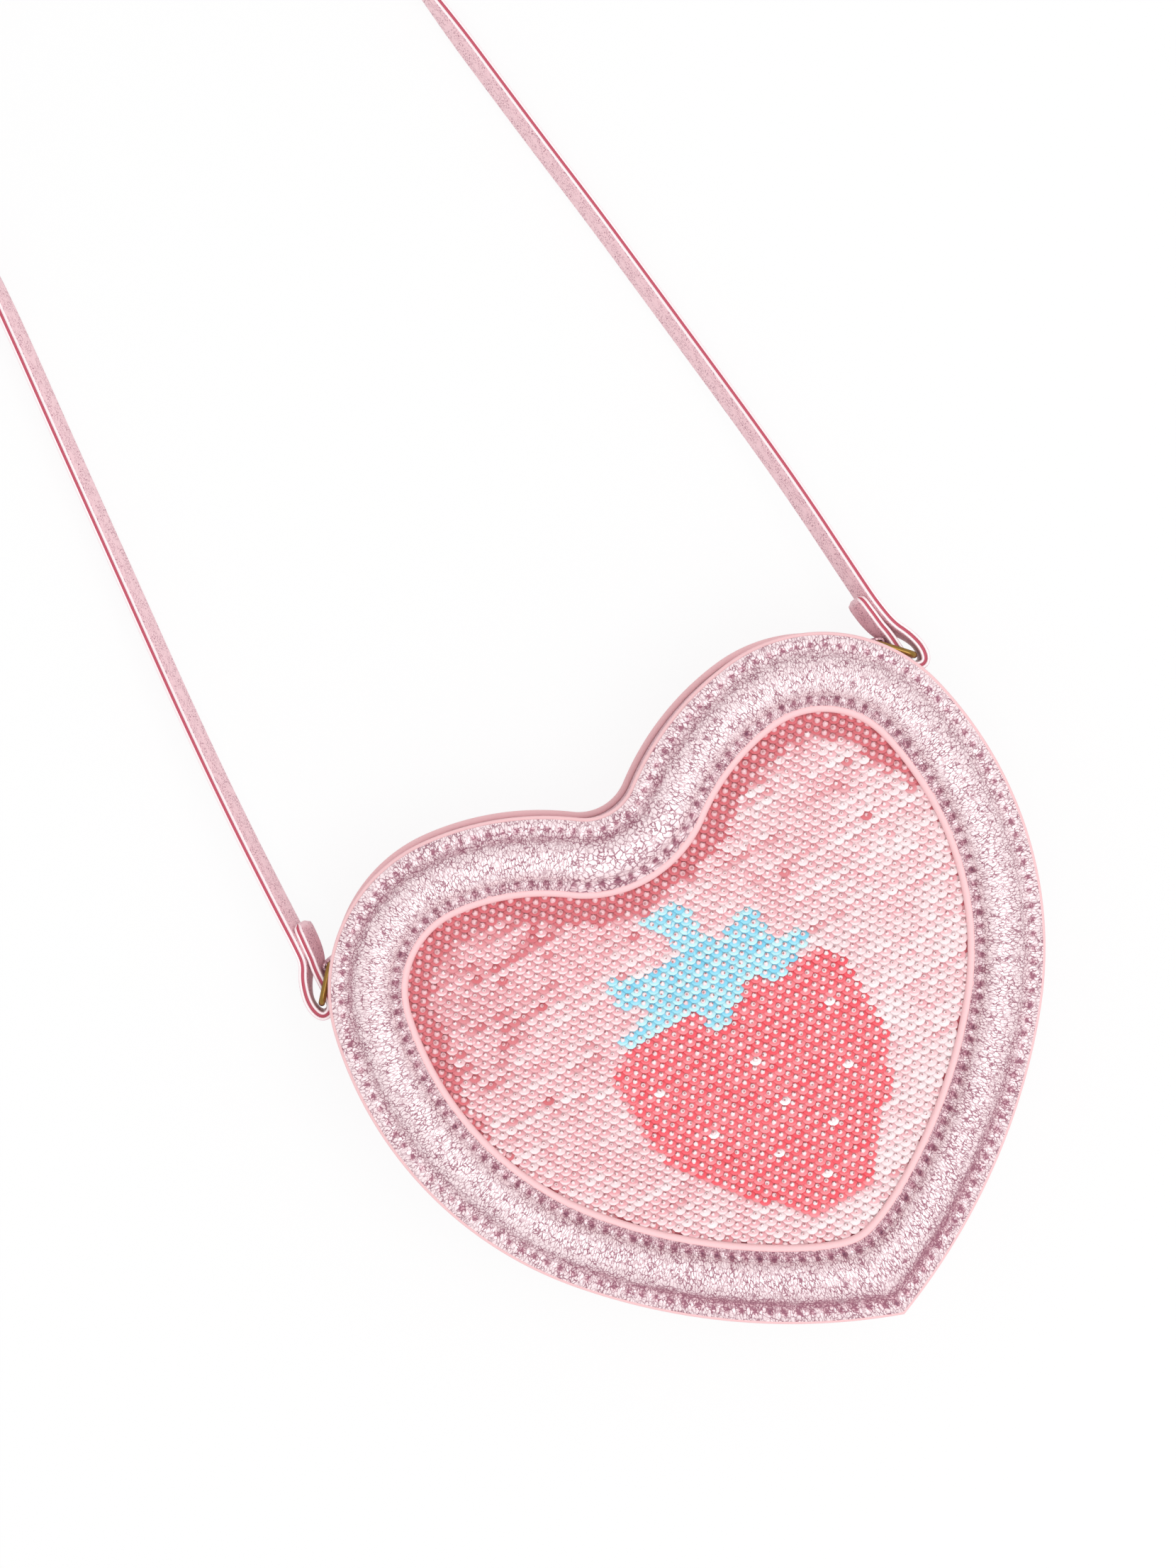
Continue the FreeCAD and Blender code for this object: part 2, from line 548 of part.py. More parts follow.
right_entry = roll_centre + Vector(0, 2 * ROLL_EYE_RADIUS + 3 * ROLL_PITCH, 0)
left_entry = roll_centre + Vector(0, 2 * ROLL_EYE_RADIUS + 2 * ROLL_PITCH, 0)
right_turn = turn_to_roll(right_down, right_away, RIGHT_TURN_RADIUS, right_entry)
left_turn = turn_to_roll(left_down, left_away, LEFT_TURN_RADIUS, left_entry)
parts["strap_right_run"] = single(ribbon_run(right_start, right_down).fuse(right_turn))
parts["strap_left_run"] = single(ribbon_run(left_start, left_down).fuse(left_turn))


def roll_arcs():
    """Half circles of the rolled strap as (centre height, radius, first angle), from entry to entry."""
    arms = []
    for count, near_side in ((4, False), (3, True)):
        arm = []
        for k in range(count):
            far = near_side if k % 2 == 0 else not near_side
            if k == 0:
                radius = ROLL_EYE_RADIUS
                centre = radius if far else -radius
            else:
                radius = 2 * ROLL_EYE_RADIUS + (k - 0.5) * ROLL_PITCH
                centre = ROLL_PITCH / 2 if far else -ROLL_PITCH / 2
            arm.append((centre, radius, 90.0 if far else -90.0))
        arms.append(arm)
    return arms[0][::-1] + arms[1]


def roll_axis(height):
    return Vector(roll_centre.x, roll_centre.y + height, 0)


# Roll: the spare length wound double from an S bend at its middle
rolled = roll_arcs()
half_turns = [ribbon_bend(roll_axis(height), radius, STRAP_FLOOR_GAP, first, first + 180)
              for height, radius, first in rolled]
parts["strap_roll"] = single(half_turns[0].fuse(half_turns[1:]))


def least_roll_gap():
    """Least clear space between half turns of the roll that don't follow each other."""
    steps = 24
    turns = [[roll_axis(height) + direction(first + 180 * (j + 0.5) / steps) * radius for j in range(steps)]
             for height, radius, first in rolled]
    gaps = [a.distanceToPoint(b) for i, turn in enumerate(turns) for other in turns[i + 2:]
            for a in turn for b in other]
    return min(gaps) - STRAP_THICKNESS


# Tie: a band through the roll's eye and round the turns on its near side
tie_inner = -(2 * ROLL_EYE_RADIUS - STRAP_THICKNESS / 2 - TIE_CLEARANCE)
tie_outer = -(2 * ROLL_EYE_RADIUS + 2 * ROLL_PITCH + STRAP_THICKNESS / 2 + TIE_CLEARANCE)
tie_height = STRAP_WIDTH + 2 * TIE_CLEARANCE
tie_x = roll_centre.x - TIE_CLEARANCE - TIE_WIDTH
tie_hole = Part.makeBox(TIE_WIDTH, tie_inner - tie_outer, tie_height,
                        Vector(tie_x, roll_centre.y + tie_outer, STRAP_FLOOR_GAP - TIE_CLEARANCE))
tie_body = Part.makeBox(TIE_WIDTH, tie_inner - tie_outer + 2 * TIE_THICKNESS, tie_height + 2 * TIE_THICKNESS,
                        Vector(tie_x, roll_centre.y + tie_outer - TIE_THICKNESS,
                               STRAP_FLOOR_GAP - TIE_CLEARANCE - TIE_THICKNESS))
parts["strap_tie"] = single(tie_body.cut(tie_hole))

# Report the strap's sizes
roll_length = sum(math.pi * radius for _, radius, _ in rolled)
run_volumes = [parts[name].Volume for name in ("strap_right_run", "strap_left_run", "strap_roll")]
strap_section = STRAP_WIDTH * STRAP_THICKNESS
print("strap length %.0f mm, rolled %.0f mm" % (sum(run_volumes) / strap_section, roll_length))
print("roll volume over section times length %.4f" % (run_volumes[2] / strap_section / roll_length))
print("roll radii", [round(radius, 1) for _, radius, _ in rolled])
print("turn radii", RIGHT_TURN_RADIUS, LEFT_TURN_RADIUS, "loop radius", round(LOOP_RADIUS, 2))
print("least gap in the roll %.2f mm" % least_roll_gap())
print("slider travel %.1f degrees" % (slider_open - slider_rest))
for label, spot in (("side centre", SIDE), ("ring bar", tab_bar), ("pull pivot", pull_pivot)):
    print(label, "%.4f %.4f" % (spot.x, spot.y))

os.makedirs("parts", exist_ok=True)
for name, shape in parts.items():
    if not shape.isValid():
        raise ValueError(name + " is not valid")
    shape.exportStep("parts/%s.step" % name)
print(len(parts), "parts")
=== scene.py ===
"""Heart shaped purse with a sequin window and a long strap, lying on its back and seen from above."""
import math
import random

import bmesh
import bpy
from mathutils import Matrix, Vector, noise


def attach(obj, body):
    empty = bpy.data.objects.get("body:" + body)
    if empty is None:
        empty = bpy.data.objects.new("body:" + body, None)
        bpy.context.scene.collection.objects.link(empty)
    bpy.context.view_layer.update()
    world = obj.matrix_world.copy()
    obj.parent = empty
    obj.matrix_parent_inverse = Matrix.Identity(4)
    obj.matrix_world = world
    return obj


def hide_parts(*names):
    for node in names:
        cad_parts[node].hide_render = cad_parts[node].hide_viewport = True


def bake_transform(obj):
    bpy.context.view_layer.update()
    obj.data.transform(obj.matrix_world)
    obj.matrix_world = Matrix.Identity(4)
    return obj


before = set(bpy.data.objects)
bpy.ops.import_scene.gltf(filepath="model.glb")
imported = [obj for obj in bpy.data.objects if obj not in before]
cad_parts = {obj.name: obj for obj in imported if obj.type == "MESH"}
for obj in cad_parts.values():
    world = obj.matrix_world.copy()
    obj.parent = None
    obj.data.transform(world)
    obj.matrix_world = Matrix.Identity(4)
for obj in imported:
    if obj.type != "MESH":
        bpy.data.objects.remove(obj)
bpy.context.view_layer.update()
scene = bpy.context.scene
MM = 0.001
SHARP_ANGLE = math.radians(50)

# Outline of the heart, mm and degrees: tangent arcs from the cleft to the tip
CLEFT_CENTRE = (0.0, 73.2896)
CLEFT_RADIUS = 11.9
CLEFT_END_ANGLE = -52.9525
SHOULDER_CENTRE = (49.2224, 8.0819)
SHOULDER_RADIUS = 69.8
SHOULDER_END_ANGLE = 96.4
LOBE_CENTRE = (45.7, 39.4849)
LOBE_RADIUS = 38.2
LOBE_END_ANGLE = 13.7
SIDE_CENTRE = (-6.3750, 26.7904)
SIDE_RADIUS = 91.8
SIDE_END_ANGLE = -39.6
LOWER_CENTRE = (-54.3780, 66.5019)
LOWER_RADIUS = 154.1
SIDE_ARC, LOWER_ARC = 3, 4
TIP_SLOPE = 0.377
TIP_SOFTNESS = 6.5
TIP_SOFT_INSETS = (3.0, 14.0)
TIP_REACH = (20.0, 45.0)
OUTLINE_STEP = 1.2
HEART_MIDDLE = Vector((0.0, 4.0, 0.0))

# Levels and insets of the body's pieces, mm
MIDDLE = 19.0
GUSSET_BASE, GUSSET_TOP = 2.0, 36.0
GUSSET_INSET, GUSSET_THICKNESS = 1.6, 1.4
PANEL_INSET, PANEL_THICKNESS = 2.05, 1.2
LINING_INSET, LINING_THICKNESS = 4.1, 0.4
GUSSET_LINING_INSET, LINING_SLOT_MARGIN = 3.65, 2.0
FRONT_TOP = 36.8
WELT_RADIUS = 1.0
FRONT_WELT_LEVEL = 37.0
PIPING_INSET, PIPING_LEVEL, PIPING_RADIUS = 17.9, 39.55, 1.1

# Padded border, mm: places across it as (inset, height), and how far the leather rises between them
BORDER_STEP = 0.42
BORDER_EDGE = (0.8, 38.2)
EDGE_ROW = 3.15
EDGE_VALLEY = (4.9, 38.5)
CROWN_INSET = 9.975
WINDOW_ROW = (15.55, 39.0)
WINDOW_INSET = 17.4
WINDOW_LIP = (WINDOW_INSET, 40.75)
EDGE_RISE, CROWN_RISE, LIP_RISE = 0.95, 4.55, 0.25
CROWN_FULLNESS = 2.3
FOLD_FILL = (-0.8, -0.4, 0.0, 0.4, 0.8)
BORDER_BASE, BORDER_LEAST = FRONT_TOP + 0.05, FRONT_TOP + 0.3

# Stitches of the border, mm; each row has its inset, the reach of its folds and two seeds of unevenness
STITCH_PITCH = 3.4
STITCH_ROWS = ((EDGE_ROW, 1.5, 3.0, 5.0), (WINDOW_ROW[0], 2.2, 9.0, 7.0))
STITCH_LEVELS = {"edge_stitches": (EDGE_ROW, 38.75), "window_stitches": (WINDOW_ROW[0], 38.95)}
STITCH_HALF = 1.25
HOLE_WIDTH, HOLE_DEPTH = 0.6, 0.40
FOLD_DEPTH, FOLD_SHADE = 0.30, 0.22
MARK_WIDTH, MARK_SHADE = 0.62, 0.86
VALLEY_INSET, VALLEY_WIDTH, VALLEY_SHADE = 5.2, 1.3, 0.85
LIP_WIDTH, LIP_SHADE = 0.6, 0.25
MOST_SHADE = 0.72

# Zip in the right side, angles round the side's centre
ZIP_TOP_ANGLE = -1.0
ZIP_SWEEP = 36.0
ZIP_SLOT = (15.5, 22.5)
TAPE_MARGIN = 1.29
TAPE_WIDTH = 8.0
TAPE_RADII = (88.8, 88.2)
TAPE_BASES = {"zip_tape_front": 20.95, "zip_tape_back": 9.05}
TAPE_STEPS = 60

# Sequin window, mm
CLOTH_INSET, CLOTH_BASE, CLOTH_DROP = 16.8, 36.85, 0.2
SEQUIN_LEVEL, DOME_RISE, DOME_REACH = 38.4, 1.6, (-2.0, 26.0)
WINDOW_EDGE_INSET, WINDOW_EDGE_STEP = 18.7, 1.0
SEQUIN_SIZE = 3.0
SEQUIN_PITCH, SEQUIN_ROW = 2.47, 1.67
SEQUIN_ROWS, SEQUINS_ACROSS = range(-46, 40), range(-34, 35)
SEQUIN_LIFT, BEAD_LIFT = 0.25, 0.25
SEQUIN_TILT, TILT_SPREAD = (-17, 10), 4
GLEAM_ANGLE = math.radians(-120)

# Strap, mm
STRAP_WIDTH = 9.0
STRAP_THICKNESS = 2.2
STRAP_LEAN = 16.0
LEAN_STARTS, LEAN_ENDS = (56.0, 70.0), (235.0, 275.0)
# Faces of the strap's section: the sunk core in crimson edge paint, and the rounded skin edges that take a
# painted highlight
CORE_FACES, EDGE_FACES = (3, 4, 5, 13, 14, 15), (1, 2, 6, 7, 11, 12, 16, 17)
ROLL_CENTRE = (-104.0, 283.0)
ROLL_LEVEL = 5.4
UP = Vector((0, 0, 1))


class Wire:
    """One output of a node tree that takes part in plain arithmetic."""

    def __init__(self, graph, socket):
        self.graph = graph
        self.socket = socket

    def math(self, operation, first, second=0.0):
        return self.graph.node("ShaderNodeMath", {"operation": operation}, {0: first, 1: second})

    def __add__(self, other):
        return self.math("ADD", self, other)

    def __radd__(self, other):
        return self.math("ADD", other, self)

    def __sub__(self, other):
        return self.math("SUBTRACT", self, other)

    def __mul__(self, other):
        return self.math("MULTIPLY", self, other)


class Graph:
    """Adds nodes to a tree, sets them and links their sockets."""

    def __init__(self, tree):
        self.tree = tree

    def node(self, kind, settings=None, inputs=None, output=0):
        node = self.tree.nodes.new(kind)
        for name, value in (settings or {}).items():
            setattr(node, name, value)
        for key, value in (inputs or {}).items():
            self.feed(node.inputs[key], value)
        return Wire(self, node.outputs[output])

    def feed(self, socket, value):
        if isinstance(value, Wire):
            self.tree.links.new(value.socket, socket)
        else:
            socket.default_value = value


def tone(code):
    """Linear colour of a six figure colour code."""
    parts = [int(code[i:i + 2], 16) / 255 for i in (0, 2, 4)]
    return tuple(p / 12.92 if p <= 0.04045 else ((p + 0.055) / 1.055) ** 2.4 for p in parts)


class Finish(Graph):
    """A material on one Principled shader; constants are set on its own sockets."""

    def __init__(self, name, colour, **constants):
        self.material = bpy.data.materials.new(name)
        self.material.use_nodes = True
        super().__init__(self.material.node_tree)
        self.shader = self.tree.nodes["Principled BSDF"]
        self.set("Base Color", (*tone(colour), 1.0))
        for key, value in constants.items():
            self.set(key.replace("_", " "), value)

    def set(self, name, value):
        self.feed(self.shader.inputs[name], value)

    def place(self):
        """Object coordinates in mm."""
        return self.stretch(self.node("ShaderNodeTexCoord", output="Object"), (1 / MM,) * 3)

    def strip(self):
        """The piece's own map in mm, along and across it."""
        return self.node("ShaderNodeUVMap", {"uv_map": "lay"})

    def reading(self, name):
        """A number that the mesh carries on its points."""
        return self.node("ShaderNodeAttribute", {"attribute_name": name}, None, "Fac")

    def stretch(self, place, by):
        return self.node("ShaderNodeVectorMath", {"operation": "MULTIPLY"}, {0: place, 1: by})

    def grain(self, place, scale, detail=2.0):
        return self.node("ShaderNodeTexNoise", None, {"Vector": place, "Scale": scale, "Detail": detail})

    def cells(self, place, by):
        """Distance from the edges of random cells, in a place stretched first."""
        return self.node("ShaderNodeTexVoronoi", {"feature": "DISTANCE_TO_EDGE"},
                         {"Vector": self.stretch(place, by), "Scale": 1.0}, "Distance")

    def ramp(self, value, low, high, to_low=0.0, to_high=1.0):
        return self.node("ShaderNodeMapRange", {"interpolation_type": "SMOOTHSTEP"},
                         {0: value, 1: low, 2: high, 3: to_low, 4: to_high})

    def mix(self, share, first, second):
        """Colour between two, each a colour code or a wire."""
        first, second = (value if isinstance(value, Wire) else (*tone(value), 1.0)
                         for value in (first, second))
        return self.node("ShaderNodeMix", {"data_type": "RGBA"}, {"Factor": share, 6: first, 7: second}, 2)

    def bump(self, height, strength, distance):
        self.set("Normal", self.node("ShaderNodeBump", None,
                                     {"Strength": strength, "Distance": distance * MM, "Height": height}))


def smooth_step(value, low, high):
    """Share of the way from low to high, eased at both ends."""
    share = min(max((value - low) / (high - low), 0.0), 1.0)
    return share * share * (3 - 2 * share)


def finished_mesh(name, points, faces, turn_out=True):
    """Smooth mesh of points in mm, its faces turned outward and its corners kept."""
    mesh = bpy.data.meshes.new(name)
    mesh.from_pydata([Vector(point) * MM for point in points], [], faces)
    if turn_out:
        work = bmesh.new()
        work.from_mesh(mesh)
        bmesh.ops.recalc_face_normals(work, faces=work.faces)
        work.to_mesh(mesh)
        work.free()
    mesh.shade_smooth()
    mesh.set_sharp_from_angle(angle=SHARP_ANGLE)
    return mesh


def grid_mesh(name, rows, closed_round=False, closed_along=False, capped=False):
    """Mesh of quads between rows of points, with its own map along and across in mm."""
    count = len(rows[0])
    points = [point for row in rows for point in row]
    along = [0.0]
    for i in range(len(rows)):
        along.append(along[-1] + (Vector(rows[i][0]) - Vector(rows[(i + 1) % len(rows)][0])).length)
    across = [0.0]
    for j in range(count):
        across.append(across[-1] + (Vector(rows[0][j]) - Vector(rows[0][(j + 1) % count])).length)
    faces, lay = [], {}
    for i in range(len(rows) if closed_along else len(rows) - 1):
        after = (i + 1) % len(rows)
        for j in range(count if closed_round else count - 1):
            beside = (j + 1) % count
            face = (i * count + j, i * count + beside, after * count + beside, after * count + j)
            lay[len(faces)] = dict(zip(face, ((along[i], across[j]), (along[i], across[j + 1]),
                                              (along[i + 1], across[j + 1]), (along[i + 1], across[j]))))
            faces.append(face)
    if capped:
        faces.append(tuple(range(count)))
        faces.append(tuple(range((len(rows) - 1) * count, len(rows) * count)))
    mesh = finished_mesh(name, points, faces)
    layer = mesh.uv_layers.new(name="lay")
    for number, polygon in enumerate(mesh.polygons):
        spots = lay.get(number, {})
        for loop in polygon.loop_indices:
            layer.data[loop].uv = spots.get(mesh.loops[loop].vertex_index, (0.0, 0.0))
    return mesh


def marked(mesh, name, values):
    """The mesh with a number on each of its points."""
    mesh.attributes.new(name, "FLOAT", "POINT").data.foreach_set("value", values)
    return mesh


def placed(name, data):
    """New object in the scene."""
    thing = bpy.data.objects.new(name, data)
    scene.collection.objects.link(thing)
    return thing


def dress(name, finish):
    """Gives a plain solid that stays in view its finish."""
    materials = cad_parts[name].data.materials
    materials.clear()
    materials.append(finish.material)


def show(name, mesh, slot, *finishes, body="purse", replaces=()):
    """New piece at the origin with its finishes, on a body, in place of some of the plain solids."""
    piece = placed(name, mesh)
    for finish in finishes:
        mesh.materials.append(finish.material)
    if body:
        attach(piece, body)
    if replaces:
        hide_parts(*replaces)
    return piece


def tip_angle(inset):
    """Angle on the lower arc at which it meets the middle of the heart."""
    return -math.degrees(math.acos(-LOWER_CENTRE[0] / (LOWER_RADIUS - inset)))


def half_arcs(inset):
    """Right half of the outline, set in: (centre, radius, start, end) of each arc."""
    return [(CLEFT_CENTRE, CLEFT_RADIUS + inset, -90.0, CLEFT_END_ANGLE),
            (SHOULDER_CENTRE, SHOULDER_RADIUS - inset, CLEFT_END_ANGLE + 180, SHOULDER_END_ANGLE),
            (LOBE_CENTRE, LOBE_RADIUS - inset, SHOULDER_END_ANGLE, LOBE_END_ANGLE),
            (SIDE_CENTRE, SIDE_RADIUS - inset, LOBE_END_ANGLE, SIDE_END_ANGLE),
            (LOWER_CENTRE, LOWER_RADIUS - inset, SIDE_END_ANGLE, tip_angle(inset))]


def stations(step):
    """Places (arc, share of it, side) down the right side from the cleft to the tip and back up the left."""
    half = []
    for number, (_, radius, start, end) in enumerate(half_arcs(CROWN_INSET)):
        count = max(round(radius * math.radians(abs(end - start)) / step), 2)
        half += [(number, k / count) for k in range(count)]
    half.append((LOWER_ARC, 1.0))
    return [(*place, 1) for place in half] + [(*place, -1) for place in half[-2:0:-1]]


def heart_point(station, inset, height=0.0):
    """Point on the outline set in; the further in, the rounder the tip."""
    number, share, side = station
    centre, radius, start, end = half_arcs(inset)[number]
    angle = math.radians(start + (end - start) * share)
    x = centre[0] + radius * math.cos(angle)
    y = centre[1] + radius * math.sin(angle)
    if number == LOWER_ARC:
        softness = TIP_SOFTNESS * smooth_step(inset, *TIP_SOFT_INSETS)
        y += TIP_SLOPE * (math.hypot(x, softness) - x) * (1 - smooth_step(x, *TIP_REACH))
    return Vector((side * x, y, height))


def outline(inset, step=OUTLINE_STEP):
    """Points round the heart, set in."""
    return [heart_point(station, inset) for station in stations(step)]


def ring_mesh(name, section, step):
    """Section of (inset, height) points carried round the heart."""
    rows = [[heart_point(station, *spot) for spot in section] for station in stations(step)]
    return grid_mesh(name, rows, closed_round=True, closed_along=True)


def turned(sides):
    """Cosine and sine of each of a number of equal steps round a circle."""
    return [(math.cos(math.tau * k / sides), math.sin(math.tau * k / sides)) for k in range(sides)]


def welt_section(inset, height, radius, sides=14):
    """Round section as (inset, height) points."""
    return [(inset + radius * across, height + radius * up) for across, up in turned(sides)]


def panel_mesh(name, inset, base, top, rise=0.0):
    """Closed panel of the heart's shape, its upper side rising to the middle."""
    rings = [0.03, 0.25, 0.45, 0.62, 0.76, 0.87, 0.95, 1.0]
    levels = [(share, base) for share in rings]
    levels += [(share, top + rise * (1 - share ** 2)) for share in reversed(rings)]
    edge = outline(inset)
    rows = [[HEART_MIDDLE + (spot - HEART_MIDDLE) * share + UP * height for spot in edge]
            for share, height in levels]
    return grid_mesh(name, rows, closed_round=True, capped=True)


def wall_mesh(name, inset, thickness, base, top, slot_margin):
    """Wall round the heart with the zip's slot in its right side."""
    before, along, after_slot, steps = 8, 48, 3, 6
    slot_end = ZIP_TOP_ANGLE - ZIP_SWEEP
    sweep = SIDE_END_ANGLE - LOBE_END_ANGLE
    places = [place for place in stations(OUTLINE_STEP) if not (place[0] == SIDE_ARC and place[2] == 1)]
    first = next(i for i, place in enumerate(places) if place[0] == LOWER_ARC)
    cuts = [LOBE_END_ANGLE + (ZIP_TOP_ANGLE - LOBE_END_ANGLE) * k / before for k in range(before)]
    cuts += [ZIP_TOP_ANGLE - ZIP_SWEEP * k / along for k in range(along + 1)]
    cuts += [slot_end + (SIDE_END_ANGLE - slot_end) * k / after_slot for k in range(1, after_slot)]
    places[first:first] = [(SIDE_ARC, (cut - LOBE_END_ANGLE) / sweep, 1) for cut in cuts]
    slot_low, slot_high = ZIP_SLOT[0] - slot_margin, ZIP_SLOT[1] + slot_margin
    levels = [base + (slot_low - base) * k / steps for k in range(steps)]
    levels += [slot_low, (slot_low + slot_high) / 2, slot_high]
    levels += [slot_high + (top - slot_high) * k / steps for k in range(1, steps + 1)]
    opening = range(first + before, first + before + along)
    count, total = len(levels), len(places) * len(levels)
    points = [heart_point(place, inset, level) for place in places for level in levels]
    points += [heart_point(place, inset + thickness, level) for place in places for level in levels]
    faces, rims = [], {}
    for i in range(len(places)):
        for j in range(count - 1):
            if i in opening and slot_low <= levels[j] < slot_high:
                continue
            after = (i + 1) % len(places)
            face = (i * count + j, after * count + j, after * count + j + 1, i * count + j + 1)
            faces.append(face)
            faces.append(tuple(corner + total for corner in reversed(face)))
            for a, b in zip(face, face[1:] + face[:1]):
                rims[frozenset((a, b))] = rims.get(frozenset((a, b)), 0) + 1
    for rim, uses in rims.items():
        if uses == 1:
            a, b = rim
            faces.append((a, b, b + total, a + total))
    return finished_mesh(name, points, faces)


def made_mesh(holder):
    """Mesh that an object's curve or modifiers make."""
    return bpy.data.meshes.new_from_object(holder.evaluated_get(bpy.context.evaluated_depsgraph_get()))


def route_line(route, steps=16):
    """Points in mm read from the smooth spline that a route steers."""
    curve = bpy.data.curves.new("route", "CURVE")
    curve.dimensions = "3D"
    spline = curve.splines.new("NURBS")
    spline.points.add(len(route) - 1)
    for point, spot in zip(spline.points, route):
        point.co = (*(Vector(spot) * MM), 1.0)
    spline.order_u = 3
    spline.use_endpoint_u = True
    spline.resolution_u = steps
    holder = placed("route", curve)
    mesh = made_mesh(holder)
    line = [vertex.co / MM for vertex in mesh.vertices]
    bpy.data.objects.remove(holder)
    bpy.data.meshes.remove(mesh)
    return [spot for i, spot in enumerate(line) if i == 0 or (spot - line[i - 1]).length > 0.01]


def strap_section():
    """Strap section, (across its thickness, along its width): two skins with a core sunk between them."""
    half, edge = STRAP_THICKNESS / 2, STRAP_WIDTH / 2
    top = [(-half, edge - 0.5), (-half + 0.10, edge - 0.14), (-half + 0.36, edge), (-0.36, edge - 0.12),
           (-0.26, edge - 0.34), (0.26, edge - 0.34),
           (0.36, edge - 0.12), (half - 0.36, edge), (half - 0.10, edge - 0.14), (half, edge - 0.5)]
    return top + [(-across, -along) for across, along in top]


def strap_lean(spot):
    """Degrees by which the strap's upper edge leans outward at a place."""
    return STRAP_LEAN * smooth_step(spot.y, *LEAN_STARTS) * (1 - smooth_step(spot.y, *LEAN_ENDS))


def rounding(left, radius):
    """Share of a rounding reached at a distance from the end."""
    return math.sqrt(max(1 - (1 - min(left / radius, 1.0)) ** 2, 0.0))


def heading_and_side(line, i):
    """Direction of a line at one of its points, and the level direction to its right."""
    heading = (line[min(i + 1, len(line) - 1)] - line[max(i - 1, 0)]).normalized()
    return heading, heading.cross(UP).normalized()


def strap_mesh(name, line, round_end=False):
    """Strap standing on edge along a line, its last end rounded where it is cut."""
    rows = []
    left = [0.0]
    for a, b in zip(line[::-1], line[-2::-1]):
        left.append(left[-1] + (a - b).length)
    left.reverse()
    for i, spot in enumerate(line):
        heading, side = heading_and_side(line, i)
        rise = side.cross(heading)
        angle = math.radians(strap_lean(spot)) * math.copysign(1, side.x * spot.x)
        thick = side * math.cos(angle) - rise * math.sin(angle)
        wide = rise * math.cos(angle) + side * math.sin(angle)
        if round_end:
            thick = thick * (0.15 + 0.85 * rounding(left[i], 1.1))
            wide = wide * (0.55 + 0.45 * rounding(left[i], 2.6))
        rows.append([spot + thick * a + wide * w for a, w in strap_section()])
    mesh = grid_mesh(name, rows, closed_round=True, capped=True)
    count = len(rows[0])
    finish_of = {**dict.fromkeys(CORE_FACES, 1), **dict.fromkeys(EDGE_FACES, 2)}
    for number, polygon in enumerate(mesh.polygons):
        polygon.material_index = finish_of.get(number % count, 0) if number < (len(rows) - 1) * count else 0
    return mesh


def ribbon_mesh(name, line, low, high, thickness):
    """Flat ribbon along a line in one level, standing between two heights."""
    half = thickness / 2
    flat = half * 0.6
    section = [(-half, low + half), (-flat, low), (flat, low), (half, low + half),
               (half, high - half), (flat, high), (-flat, high), (-half, high - half)]
    rows = []
    for i, spot in enumerate(line):
        side = heading_and_side(line, i)[1]
        rows.append([Vector((spot.x, spot.y, z)) + side * across for across, z in section])
    return grid_mesh(name, rows, closed_round=True, capped=True)


# Finishes
def crackle(name, white, line, mapped):
    """Foiled leather, its foil broken by fine darker lines, thickest where the leather is drawn down;
    painted shade carried by the mesh darkens the foil and thickens its lines.
    """
    finish = Finish(name, white, Metallic=0.25, Roughness=0.36)
    lay = finish.strip() if mapped else finish.place()
    drift = finish.node("ShaderNodeTexNoise", None, {"Vector": lay, "Scale": 0.8, "Detail": 3.0}, "Color")
    lay = finish.node("ShaderNodeVectorMath", {"operation": "MULTIPLY_ADD"},
                      {0: drift, 1: (1.3, 1.3, 1.3), 2: lay})
    painted_shade = finish.reading("painted_shade")
    crossing = finish.cells(lay, (1.4, 0.6, 1.0))
    running = finish.cells(lay, (0.65, 1.7, 1.0))
    worn = finish.ramp(finish.grain(lay, 0.45), 0.34, 0.62)
    specks = finish.ramp(finish.grain(lay, 2.4, 3.0), 0.54, 0.70)
    lines = finish.ramp(crossing, 0.0, 0.15 + painted_shade * 0.12, 1.0, 0.0) * (0.46 + worn * 0.46)
    lines = lines + finish.ramp(running, 0.0, 0.04 + painted_shade * 0.26, 1.0, 0.0) * (0.10 + painted_shade)
    lines = finish.node("ShaderNodeClamp", None, {0: lines * 1.1 + specks * 0.4})
    # painted shade: the foil darkens through these mauves where the mesh carries painted shade
    ground = finish.mix(finish.ramp(painted_shade, 0.05, 0.8), white, "e2b4be")
    drawn = finish.mix(lines, ground, line)
    finish.set("Base Color", finish.mix(finish.ramp(painted_shade, 0.75, 1.25), drawn, "8c5d72"))
    finish.set("Roughness", 0.34 + lines * 0.25)
    finish.bump(finish.grain(lay, 1.3) * 0.8 - lines, 0.5, 0.14)
    return finish


border_leather = crackle("border_leather", "ffebee", "9c6275", True)
# darker, pinker copy of the foiled leather for the sides, back and tabs, which lie in shade: painted shade
shaded_side_leather = crackle("shaded_side_leather", "f0c8d0", "a0687a", False)
trim = Finish("trim", "f6c8cb", Roughness=0.55)
trim.bump(trim.grain(trim.place(), 2.2, 3.0), 0.12, 0.1)
cloth = Finish("cloth", "dc7680", Roughness=0.8)
lining = Finish("lining", "e7c3c9", Roughness=0.85)
board = Finish("board", "b9aa94", Roughness=0.9)
tape = Finish("tape", "e8aab6", Roughness=0.8)
weave = tape.node("ShaderNodeTexWave", {"bands_direction": "X"},
                  {"Vector": tape.strip(), "Scale": 2.4}, "Fac")
tape.bump(weave, 0.4, 0.1)
gold = Finish("gold", "dcb673", Metallic=1.0, Roughness=0.28)
